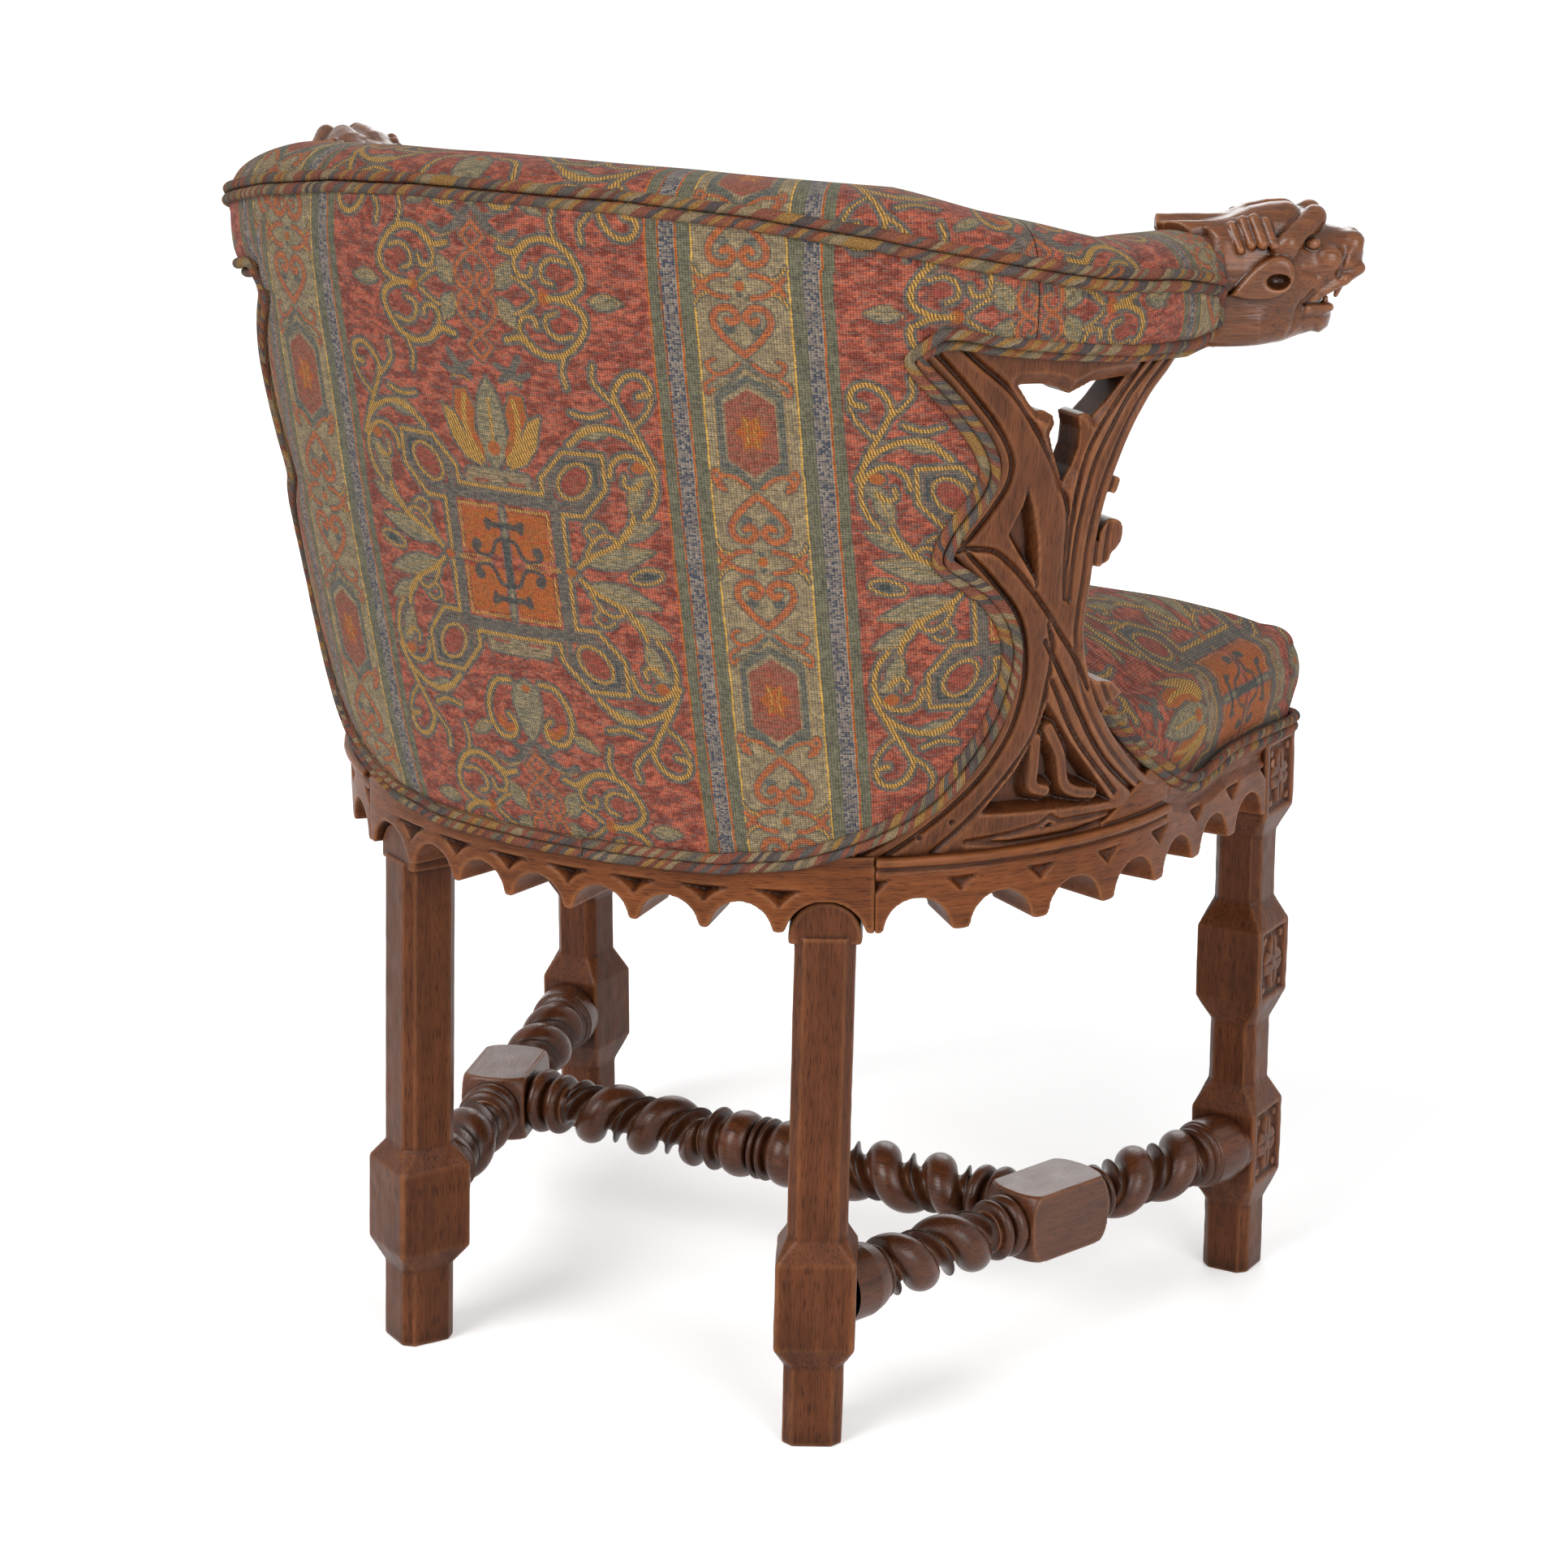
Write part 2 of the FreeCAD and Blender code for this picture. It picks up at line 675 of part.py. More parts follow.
def side_stretcher(front_leg, rear_leg):
    front, direction, length = stretcher_line()
    place = Placement(front, Rotation(direction, UP.cross(direction), UP))
    block = size("middle_block_length")
    middle = (size("middle_block_y") - front.y) / direction.y
    rear_half = size("rear_block_width") / 2
    collar = size("collar_length")
    reach = size("collar_diameter") / 2 * abs(direction.x / direction.y)
    collar_front = turned("side_collar_front", "collar_diameter", -reach, reach + collar, place)
    collar_rear = turned("side_collar_rear", "collar_diameter", length - rear_half - collar, rear_half + collar,
                         place)
    pieces = [
        cut("side_collar_front_fitted", collar_front, [front_leg]),
        cut("side_collar_rear_fitted", collar_rear, [rear_leg]),
        middle_block("side_middle_block", middle - block / 2, place),
    ]
    turns = size("twist_turns")
    pieces += spindle("side_front", collar, middle - block / 2, turns, place)
    pieces += spindle("side_rear", middle + block / 2, length - rear_half - collar, -turns, place)
    pieces += stretcher_tenons("side_tenon_round", place, length)
    return fuse("side_stretcher_whole", pieces), pieces[2], place


def stretcher_tenons(name, place, length):
    """Round tenons at both ends, in the leg blocks."""
    reach = size("round_tenon_length")
    rear_face = length - size("rear_block_width") / 2
    return [
        turned(name + "_front", "round_tenon_diameter", -reach, reach + size("collar_length"), place),
        turned(name + "_rear", "round_tenon_diameter", rear_face - size("collar_length"),
               reach + size("collar_length"), place),
    ]


def middle_block(name, start, place):
    item = doc.addObject("Part::Box", name + "_blank")
    bind(item, Length="sizes.middle_block_length", Width="sizes.middle_block_width")
    bind(item, Height="sizes.middle_block_height")
    corner = Vector(start, -size("middle_block_width") / 2, -size("middle_block_height") / 2)
    item.Placement = place.multiply(Placement(corner, Rotation()))
    doc.recompute()
    chamfered = doc.addObject("Part::Chamfer", name)
    chamfered.Base = item
    edge = size("middle_block_edge")
    numbered = enumerate(item.Shape.Edges, start=1)
    chamfered.Edges = [(number, edge, edge) for number, side in numbered if end_edge(side, place)]
    return chamfered


def end_edge(edge, place):
    """True for the edges round the two ends of a stretcher block."""
    axis = place.Rotation.multVec(Vector(1, 0, 0))
    run = edge.Vertexes[1].Point - edge.Vertexes[0].Point
    return abs(run.dot(axis)) < run.Length / 2


def cross_stretcher(block):
    """Level bar between the two middle blocks, twisted both ways from a turned boss."""
    front, direction, _ = stretcher_line()
    middle = front + direction * ((size("middle_block_y") - front.y) / direction.y)
    half = abs(middle.x)
    place = Placement(Vector(0, middle.y, middle.z), Rotation())
    boss = size("cross_boss_length")
    face = half - size("middle_block_width") / 2 / direction.y
    collar = size("collar_length")
    reach = size("round_tenon_length")
    left_block = mirror("cross_left_block", block)
    collars = [
        turned("cross_collar_right", "neck_diameter", -half, half - face + collar, place),
        turned("cross_collar_left", "neck_diameter", face - collar, half - face + collar, place),
    ]
    pieces = [
        cut("cross_collar_right_fitted", collars[0], [block]),
        cut("cross_collar_left_fitted", collars[1], [left_block]),
        turned("cross_boss", "cross_boss_diameter", -boss / 2, boss, place),
    ]
    turns = size("twist_turns")
    pieces += spindle("cross_right", -face + collar, -boss / 2, turns, place)
    pieces += spindle("cross_left", boss / 2, face - collar, -turns, place)
    tenons = [
        turned("cross_tenon_right", "round_tenon_diameter", -face - reach, reach + collar, place),
        turned("cross_tenon_left", "round_tenon_diameter", face - collar, reach + collar, place),
    ]
    return fuse("cross_stretcher", pieces + tenons), tenons


# Tracery panels

def panel_point(u, rise):
    """Point of the panel's plane: u runs forward along the side, rise is above the rail."""
    angle = size("panel_angle")
    return RAIL.point(angle, THROUGH / 2, RAIL_TOP + rise) + along(angle) * u


def panel_mark(name):
    return panel_point(size(f"panel_{name}_u"), size(f"panel_{name}_rise"))


def panel_rear_edge():
    """Two hollow arcs that meet at a cusp, from the rail up to the arm."""
    foot = panel_point(size("panel_foot_u"), 0)
    top = panel_point(size("panel_rear_top_u"), size("panel_top_rise"))
    return [
        Part.Arc(foot, panel_mark("belly"), panel_mark("cusp")),
        Part.Arc(panel_mark("cusp"), panel_mark("upper"), top),
    ]


def prism(name, curves):
    """Outline of the panel's plane carried outwards through the chair's side."""
    face = Part.Face(wire_of(curves))
    return solid_of(name, face.extrude(normal(size("panel_angle")) * (THROUGH * 2)))


def panel_prism():
    top = size("panel_top_rise")
    foot = panel_point(size("panel_foot_u"), 0)
    toe = panel_point(size("panel_toe_u"), 0)
    rear_top = panel_point(size("panel_rear_top_u"), top)
    front_top = panel_point(size("panel_front_top_u"), top)
    waist = panel_mark("waist")
    curves = panel_rear_edge()
    curves += [segment(rear_top, front_top), Part.Arc(front_top, waist, toe), segment(toe, foot)]
    return prism("panel_prism", curves)


def side_prism():
    """All that lies in front of the panel's rear edge, where the upholstered back ends."""
    ahead = size("panel_toe_u") * 2
    low = -size("rail_height")
    high = size("panel_top_rise") + THROUGH
    foot = panel_point(size("panel_foot_u"), 0)
    rear_top = panel_point(size("panel_rear_top_u"), size("panel_top_rise"))
    upper = panel_point(size("panel_rear_top_u"), high)
    lower = panel_point(size("panel_foot_u"), low)
    curves = panel_rear_edge()
    curves += [segment(rear_top, upper), segment(upper, panel_point(ahead, high))]
    curves += [segment(panel_point(ahead, high), panel_point(ahead, low))]
    curves += [segment(panel_point(ahead, low), lower), segment(lower, foot)]
    return prism("side_prism", curves)


# Bulge of the pierced opening's two long sides as a share of its width
PIERCED_BOW_SHARE = 0.2


def pierced_prism():
    """Three-cornered opening with slightly bowed sides."""
    left = panel_point(size("pierced_left_u"), size("pierced_top_rise"))
    right = panel_point(size("pierced_right_u"), size("pierced_top_rise"))
    tip = panel_point(size("pierced_tip_u"), size("pierced_tip_rise"))
    middle_u = (size("pierced_left_u") + size("pierced_right_u")) / 2
    middle_rise = (size("pierced_top_rise") + size("pierced_tip_rise")) / 2
    bow = (size("pierced_right_u") - size("pierced_left_u")) * PIERCED_BOW_SHARE
    curves = [
        segment(left, right),
        Part.Arc(right, panel_point(middle_u + bow, middle_rise), tip),
        Part.Arc(tip, panel_point(middle_u - bow, middle_rise), left),
    ]
    return prism("pierced_prism", curves)


def tracery_panel(outline, openings):
    outer = size("panel_recess")
    inner = outer + size("panel_thickness")
    ahead = Vector(0, -THROUGH, 0)
    wires = []
    for z in (RAIL_TOP, RAIL_TOP + size("panel_top_rise")):
        plan = plan_at(z)
        first = plan.rear_angle + 1
        ends = (plan.point(90, outer, z), plan.point(90, inner, z))
        curves = plan.arcs(first, 90, outer, z)
        curves += [segment(ends[0], ends[0] + ahead), segment(ends[0] + ahead, ends[1] + ahead)]
        curves += [segment(ends[1] + ahead, ends[1])]
        curves += plan.arcs(90, first, inner, z)
        curves += [segment(plan.point(first, inner, z), plan.point(first, outer, z))]
        wires.append(wire_of(curves))
    blank = solid_of("panel_blank", Part.makeLoft(wires, True, True))
    shaped = common("panel_shaped", blank, outline)
    return cut("right_tracery_panel", shaped, openings)


# Top roll, arm pads and the rails inside them

# Share of the roll's way that follows the rim before the arm turns outwards
ROLL_RIM_SHARE = 0.75
# Strength of the bend into the head's direction as a share of that out of the rim
ROLL_ARRIVAL = 0.8
ROLL_SIDES = 14
TOP_ROLL_STEPS = 12
ARM_ROLL_STEPS = 8
SQUARE = 4


def roll_axis(share):
    """Middle of the roll at a share of its way: 0 at the rear middle, 1 at the right arm's end."""
    inset = size("roll_half_width")
    turn = size("roll_turn_angle")
    wave = (1 + math.cos(math.pi * share)) / 2
    z = size("roll_end_z") + (size("roll_rear_z") - size("roll_end_z")) * wave
    if share <= ROLL_RIM_SHARE:
        angle = turn * share / ROLL_RIM_SHARE
        return RIM.point(angle, inset, z), along(angle)
    step = (share - ROLL_RIM_SHARE) / (1 - ROLL_RIM_SHARE)
    start = RIM.point(turn, inset, z)
    end = Vector(-size("ring_x"), size("ring_y"), z)
    pull = (end - start).Length
    leave = along(turn) * pull
    arrive = head_direction() * (pull * ROLL_ARRIVAL)
    place = start * (2 * step ** 3 - 3 * step ** 2 + 1) + leave * (step ** 3 - 2 * step ** 2 + step)
    place += end * (3 * step ** 2 - 2 * step ** 3) + arrive * (step ** 3 - step ** 2)
    slope = start * (6 * step ** 2 - 6 * step) + leave * (3 * step ** 2 - 4 * step + 1)
    slope += end * (6 * step - 6 * step ** 2) + arrive * (3 * step ** 2 - 2 * step)
    place.z = z
    slope.z = 0
    return place, slope.normalize()


def head_direction():
    return Vector(-math.sin(math.radians(size("head_turn"))), -math.cos(math.radians(size("head_turn"))), 0)


def roll_section(share, half_width, half_height, sides):
    """Upright closed section of the roll, or of a rail in it, square to the way."""
    middle, ahead = roll_axis(abs(share))
    across = ahead.cross(UP)
    ring = []
    for number in range(sides):
        angle = 2 * math.pi * (number + 0.5) / sides
        reach = across * (half_width * math.cos(angle)) + UP * (half_height * math.sin(angle))
        ring.append(middle + reach)
    if share < 0:
        ring = [Vector(-p.x, p.y, p.z) for p in ring]
    return ring


def roll_loft(name, first, last, count, half_width, height_at, sides):
    """Ruled solid along the roll between two shares of its way."""
    wires = []
    for number in range(count + 1):
        share = first + (last - first) * number / count
        half_height = height_at(share)
        ring = roll_section(share, half_width, half_height, sides)
        if share < 0:
            middle = len(ring) // 2
            ring = ring[middle - 1::-1] + ring[:middle - 1:-1]
        wires.append(Part.makePolygon(ring + ring[:1]))
    return solid_of(name, Part.makeLoft(wires, True, True))


def roll_height(share):
    wave = (1 - math.cos(math.pi * abs(share))) / 2
    rear = size("roll_rear_half_height")
    return rear + (size("roll_end_half_height") - rear) * wave


def square_half(cell):
    """Half side of a square drawn as a four-point ring."""
    return size(cell) / 2 * math.sqrt(2)


JOINT_SHARE = ROLL_RIM_SHARE * size("roll_joint_angle") / size("roll_turn_angle")


def rolls():
    half_width = size("roll_half_width")
    rear = roll_loft("top_roll_whole", -JOINT_SHARE, JOINT_SHARE, TOP_ROLL_STEPS, half_width, roll_height,
                     ROLL_SIDES)
    arm = roll_loft("arm_roll_whole", JOINT_SHARE, 1, ARM_ROLL_STEPS, half_width, roll_height, ROLL_SIDES)
    return rear, arm


def hidden_rail_half_height(share):
    return square_half("hidden_rail_height")


def hidden_rails():
    half_width = square_half("hidden_rail_width")
    half_height = hidden_rail_half_height
    crest = roll_loft("crest_rail", -JOINT_SHARE, JOINT_SHARE, TOP_ROLL_STEPS, half_width, half_height, SQUARE)
    arm = roll_loft("arm_rail_whole", JOINT_SHARE, 1, ARM_ROLL_STEPS, half_width, half_height, SQUARE)
    return crest, arm


# Beast heads

def head_place():
    middle, _ = roll_axis(1)
    ahead = head_direction()
    return Placement(middle, Rotation(ahead, UP.cross(ahead), UP))


def ellipsoid(name, middle, radii, place):
    item = doc.addObject("Part::Ellipsoid", name)
    item.Radius2, item.Radius3, item.Radius1 = radii
    item.Placement = place.multiply(Placement(Vector(*middle), Rotation()))
    return item


# Middle and radii of each rounded form, along the head, to its side and upwards
HEAD_FORMS = {
    "cranium": ((40, 0, 14), (36, 34, 32)),
    "muzzle": ((72, 0, 16), (27, 23, 20)),
    "nose": ((88, 0, 24), (12, 14, 12)),
    "jaw": ((58, 0, -24), (26, 20, 13)),
    "brow_right": ((56, 17, 38), (14, 13, 13)),
    "brow_left": ((56, -17, 38), (14, 13, 13)),
    "ear_right": ((34, 32, 8), (19, 9, 15)),
    "ear_left": ((34, -32, 8), (19, 9, 15)),
}


def beast_head(fitted_to):
    """Round neck, cranium, muzzle over an open lower jaw, brows, ears and a leaf on the arm."""
    place = head_place()
    forms = [ellipsoid("head_" + name, middle, radii, place) for name, (middle, radii) in HEAD_FORMS.items()]
    neck = doc.addObject("Part::Cylinder", "head_neck")
    bind(neck, Radius="sizes.head_neck_radius", Height="sizes.head_neck_length")
    neck.Placement = place.multiply(Placement(Vector(), Rotation(UP, Vector(1, 0, 0))))
    whole = fuse("head_whole", [neck] + forms)
    behind = box("head_behind", (THROUGH, THROUGH, THROUGH), Vector())
    behind.Placement = place.multiply(Placement(Vector(-THROUGH, -THROUGH / 2, -THROUGH / 2), Rotation()))
    return cut("right_beast_head", whole, [behind] + fitted_to)


def head_dowel():
    place = head_place()
    start = Vector(-size("head_dowel_length") / 2, 0, 0)
    item = doc.addObject("Part::Cylinder", "head_dowel")
    bind(item, Radius="sizes.head_dowel_diameter / 2", Height="sizes.head_dowel_length")
    item.Placement = place.multiply(Placement(start, Rotation(UP, Vector(1, 0, 0))))
    return item


# Upholstered back

COVER = size("cover_thickness")
PAD_START = COVER + size("post_thickness")


def back_post(fitted_to):
    """Post from the rear rail up to the crest rail, behind the outer cover."""
    angle = size("post_angle")
    crest_inset = size("roll_half_width")
    share = ROLL_RIM_SHARE * angle / size("roll_turn_angle")
    top, _ = roll_axis(share)
    half = size("post_width") / 2
    wires = []
    for z, inset in ((RAIL_TOP, COVER), (top.z, crest_inset - size("post_thickness") / 2)):
        plan = plan_at(min(z, RIM_Z))
        outer = plan.point(angle, inset, z)
        inner = plan.point(angle, inset + size("post_thickness"), z)
        step = along(angle) * half
        corners = [outer - step, outer + step, inner + step, inner - step]
        wires.append(Part.makePolygon(corners + corners[:1]))
    blank = solid_of("back_post_blank", Part.makeLoft(wires, True, True))
    return cut("right_back_post", blank, fitted_to)


def lower_back_rail(fitted_to):
    """Tacking rail between the posts, a little above the seat rail."""
    z = RAIL_TOP + size("lower_back_rail_rise")
    top = z + size("lower_back_rail_height")
    angle = size("post_angle")
    blank = shell("lower_back_blank", -angle, angle, [
        (z, COVER, PAD_START - size("strap_thickness")),
        (top, COVER, PAD_START - size("strap_thickness")),
    ])
    return cut("lower_back_rail", blank, fitted_to)


def back_straps(crest):
    """Upright webbing straps from the lower back rail to the crest rail."""
    count = int(size("back_strap_count"))
    spread = size("post_angle") * 2 / (count + 1)
    low = RAIL_TOP + size("lower_back_rail_rise")
    thick = size("strap_thickness")
    straps = []
    for number in range(count):
        angle = spread * (number + 1) - size("post_angle")
        half = math.degrees(size("back_strap_width") / 2 / RIM.rear_radius)
        top = size("roll_rear_z") - size("hidden_rail_height") / 2
        levels = [
            (low, PAD_START - thick, PAD_START),
            (top, PAD_START - thick, PAD_START),
        ]
        straps.append(shell(f"back_strap_{number}", angle - half, angle + half, levels))
    return cut("back_webbing", compound("back_straps", straps), [crest])


def compound(name, parts):
    item = doc.addObject("Part::Compound", name)
    item.Links = parts
    return item


def outer_cover(side_cuts, top_cuts):
    top = RIM_Z - size("roll_rear_half_height") / 2
    reach = size("back_reach_angle")
    blank = shell("outer_cover_blank", -reach, reach, [(RAIL_TOP, 0, COVER), (top, 0, COVER)])
    return cut("outer_back_cover", blank, side_cuts + top_cuts)


# Shares of the inner back's height at which its thickness is set
BACK_PAD_SHARES = (0, 0.25, 0.6, 1)


def inner_back_pad(side_cuts, top_cuts):
    """Stuffed inner back: thickest half way up, thinner at the seat and under the roll."""
    low = RAIL_TOP + size("strap_thickness") * 2 + size("hessian_thickness") + size("clearance")
    top = RIM_Z - size("roll_rear_half_height") / 2
    edge = PAD_START + size("back_pad_edge")
    crown = PAD_START + size("back_pad_crown")
    reach = size("back_reach_angle")
    insets = [edge, (edge + crown) / 2, crown, edge]
    levels = [(low + (top - low) * share, PAD_START, inset) for share, inset in zip(BACK_PAD_SHARES, insets)]
    blank = shell("inner_back_blank", -reach, reach, levels)
    return cut("inner_back_pad", blank, side_cuts + top_cuts)


# Seat

STRAP = size("strap_thickness")
SEAT_LOW = RAIL_TOP + 2 * STRAP + size("hessian_thickness")


def panel_toe_y():
    """Foremost point of the panel's foot, which is on its inner face."""
    angle = size("panel_angle")
    base = RAIL.point(angle) + along(angle) * size("panel_toe_u")
    inner_x = -size("rail_half_width") + size("panel_recess") + size("panel_thickness")
    return base.y + normal(angle).y * (inner_x - base.x) / normal(angle).x


def seat_outline(inset, back_inset, z):
    """Seat seen from above: round at the rear, wider in front of the side panels."""
    wide = size("rail_half_width") + size("seat_side_overhang") - inset
    front = FRONT_FACE_Y - size("seat_front_overhang") + inset
    step_y = panel_toe_y() - size("seat_back_clearance")
    radius = size("seat_corner_radius")
    curves = RAIL.arcs(-90, 90, back_inset + inset, z)
    right = RAIL.point(90, back_inset + inset, z)
    corner = Vector(-wide + radius, front + radius, z)
    diagonal = radius / math.sqrt(2)
    points = [
        right,
        Vector(right.x, step_y, z),
        Vector(-wide, step_y, z),
        Vector(-wide, front + radius, z),
        Vector(-wide + radius, front, z),
    ]
    right_side = [segment(points[0], points[1]), segment(points[1], points[2]), segment(points[2], points[3])]
    bend = Part.Arc(points[3], corner + Vector(-diagonal, -diagonal, 0), points[4])
    left = [Vector(-p.x, p.y, p.z) for p in points]
    left_bend = Part.Arc(left[4], Vector(-corner.x + diagonal, corner.y - diagonal, z), left[3])
    left_side = [segment(left[3], left[2]), segment(left[2], left[1]), segment(left[1], left[0])]
    return curves + right_side + [bend, segment(points[4], left[4]), left_bend] + left_side


# Share of the edge height, share of the rise from edge to crown, and inset from the widest outline
SEAT_PROFILE = ((0, 0, 6), (0.45, 0, 0), (0.85, 0, 3), (1, 0, 12), (1, 0.5, 45), (1, 1, 120))


def seat_pad(pad):
    """Crowned pad: drawn in at the bottom, full at the edge, rising to the middle."""
    back = size("panel_recess") + size("panel_thickness") + size("seat_back_clearance")
    edge = size("seat_edge_height")
    rise = size("seat_crown_height") - edge
    wires = []
    for edge_share, crown_share, inset in SEAT_PROFILE:
        z = SEAT_LOW + edge * edge_share + rise * crown_share
        wires.append(wire_of(seat_outline(inset, back, z)))
    blank = solid_of("seat_blank", Part.makeLoft(wires, True, True))
    return cut("seat_pad", blank, [pad])


def seat_hessian():
    back = size("panel_recess") + size("panel_thickness") + size("seat_back_clearance")
    outline = seat_outline(size("seat_base_inset"), back, 0)
    height = "sizes.pendant_z + sizes.rail_height + 2 * sizes.strap_thickness"
    return padded_outline("seat_hessian", outline, height, "sizes.hessian_thickness")


def seat_webbing():
    """Straps from rail to rail, first those that run back to front, then those across."""
    back = size("panel_recess") + size("panel_thickness") + size("seat_back_clearance")
    outline = seat_outline(size("seat_base_inset"), back, 0)
    width = size("seat_strap_width")
    count = int(size("seat_strap_count"))
    depth = RAIL.point(0).y - FRONT_FACE_Y
    span = 2 * size("rail_half_width")
    layers = []
    for layer in range(2):
        straps = []
        pitch = (depth if layer else span) / (count + 1)
        for number in range(count):
            place = pitch * (number + 1) - width / 2
            z = RAIL_TOP + layer * STRAP
            if layer:
                corner = Vector(-span / 2, FRONT_FACE_Y + place, z)
                sides = (span, width, STRAP)
            else:
                corner = Vector(-span / 2 + place, FRONT_FACE_Y, z)
                sides = (width, depth, STRAP)
            straps.append(box(f"seat_strap_{layer}_{number}", sides, corner))
        area = solid_of(f"seat_area_{layer}", Part.Face(wire_of(outline)).extrude(UP * RAIL_TOP * 2))
        layers.append(common(f"seat_straps_{layer}", compound(f"seat_strap_set_{layer}", straps), area))
    return compound("seat_webbing", layers)


def corner_block(leg):
    """Three-cornered block in the right front corner of the rails."""
    side = size("corner_block_leg")
    x = -size("rail_half_width") + size("rail_thickness")
    y = FRONT_FACE_Y + size("rail_thickness")
    corners = [Vector(x, y, 0), Vector(x + side, y, 0), Vector(x, y + side, 0)]
    z = "sizes.pendant_z + sizes.rail_height - sizes.corner_block_height"
    blank = padded_outline("corner_block_blank", polygon(corners), z, "sizes.corner_block_height")
    return cut("corner_block", blank, [leg])


# Assembly

def both(name, right):
    """Right-hand piece and its left-hand twin under their node names."""
    return {"right_" + name: right, "left_" + name: mirror("left_" + name, right)}


def pair(name, right):
    """One node that holds a piece of each side."""
    return {name: compound(name, [right, mirror(name + "_left", right)])}


def build():
    nodes = {}
    front_blank = front_leg_whole()
    rear_blank = rear_leg_whole()
    pegs = tenon_peg_pair()
    dowel = rail_dowel("rail_dowel")
    leg_tenon = rear_leg_tenon("rail_leg_mortise")

    stretcher_blank, block, place = side_stretcher(front_blank, rear_blank)
    cross, cross_tenons = cross_stretcher(block)
    side_bar = cut("right_side_stretcher", stretcher_blank, [cross_tenons[0]])
    round_tenons = stretcher_tenons("leg_bore", place, stretcher_line()[2])
    front_bores = [side_tenon("side_mortise"), front_tenon("front_mortise"), round_tenons[0]] + pegs
    nodes |= both("front_leg", cut("right_front_leg", front_blank, front_bores))
    nodes |= both("rear_leg", cut("right_rear_leg", rear_blank, [round_tenons[1]]))
    nodes |= both("side_stretcher", side_bar)
    nodes["cross_stretcher"] = cross

    nodes["rear_seat_rail"] = rear_rail(dowel, leg_tenon)
    nodes["front_seat_rail"] = front_rail(pegs)
    nodes |= both("seat_rail", side_rail(dowel, pegs))
    nodes |= pair("rail_dowels", dowel)
    nodes |= pair("tenon_pegs", compound("tenon_pegs_right", pegs))
    nodes |= pair("corner_blocks", corner_block(front_blank))

    top_whole, arm_whole = rolls()
    crest, arm_rail_whole = hidden_rails()
    peg = head_dowel()
    nodes["crest_rail"] = crest
    nodes |= both("arm_rail", cut("right_arm_rail", arm_rail_whole, [peg]))
    nodes |= both("arm_pad", cut("right_arm_pad", arm_whole, [arm_rail_whole, peg]))
    nodes |= pair("head_dowels", peg)
    nodes |= both("beast_head", beast_head([peg, arm_whole]))

    outline = panel_prism()
    nodes |= both("tracery_panel", tracery_panel(outline, [pierced_prism(), arm_whole, top_whole]))
    ahead = side_prism()
    side_cuts = [ahead, mirror("side_prism_left", ahead)]
    top_cuts = [top_whole, arm_whole, mirror("arm_roll_left", arm_whole)]
    cover = outer_cover(side_cuts, top_cuts)
    nodes["outer_back_cover"] = cover
    nodes |= both("back_post", back_post([crest, cover]))
    posts = [nodes["right_back_post"], nodes["left_back_post"]]
    nodes["top_roll"] = cut("top_roll", top_whole, [crest] + posts)
    nodes["lower_back_rail"] = lower_back_rail(posts + [cover])
    straps = back_straps(top_whole)
    nodes["back_webbing"] = straps
    pad = inner_back_pad(side_cuts, top_cuts + posts + [straps])
    nodes["inner_back_pad"] = pad
    nodes["seat_webbing"] = seat_webbing()
    nodes["seat_hessian"] = seat_hessian()
    nodes["seat_pad"] = seat_pad(pad)
    return nodes


def check(nodes):
    """Stop before anything is written when an object failed or a piece has no sound shape."""
    for item in doc.Objects:
        if "Invalid" in item.State or "Error" in item.State:
            raise RuntimeError(f"{item.Name} failed: {item.State}")
    for name, item in nodes.items():
        if item.Shape.isNull() or not item.Shape.isValid() or not item.Shape.Solids:
            raise RuntimeError(f"{name} has no sound solid")


parts = build()
doc.recompute()
check(parts)
os.makedirs("parts", exist_ok=True)
for node, item in parts.items():
    item.Label = node
    item.Shape.exportStep(f"parts/{node}.step")
    print(f"{node}: {len(item.Shape.Solids)} solids, {item.Shape.Volume / 1000:.1f} cm3")
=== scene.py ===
import math

import bpy
import numpy as np
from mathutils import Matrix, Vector


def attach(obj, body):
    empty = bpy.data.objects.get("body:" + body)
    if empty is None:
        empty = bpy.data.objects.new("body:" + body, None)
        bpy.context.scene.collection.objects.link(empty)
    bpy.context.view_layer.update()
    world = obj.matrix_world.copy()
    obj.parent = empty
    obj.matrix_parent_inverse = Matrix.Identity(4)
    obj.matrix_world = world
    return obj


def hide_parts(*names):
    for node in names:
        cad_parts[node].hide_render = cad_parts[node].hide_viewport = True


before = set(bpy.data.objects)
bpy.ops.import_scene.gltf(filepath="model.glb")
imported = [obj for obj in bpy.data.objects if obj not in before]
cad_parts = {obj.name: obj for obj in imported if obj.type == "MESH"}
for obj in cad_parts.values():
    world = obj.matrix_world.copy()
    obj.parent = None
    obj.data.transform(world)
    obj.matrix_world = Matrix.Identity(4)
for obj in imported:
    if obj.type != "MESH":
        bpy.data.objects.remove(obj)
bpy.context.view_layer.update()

MM = 0.001

# Plan of the chair in millimetres and degrees, as in the CAD: half width, corner centre, rear angle, rear y
RAIL = (308.0, 48.0, 20.0, 217.0)
RIM = (350.0, 140.0, 26.8, 268.0)
RAIL_FOOT = 356.0
RAIL_TOP = 408.0
RAIL_THICK = 50.0
RIM_RISE = 407.0
RIM_TOP = RAIL_TOP + RIM_RISE


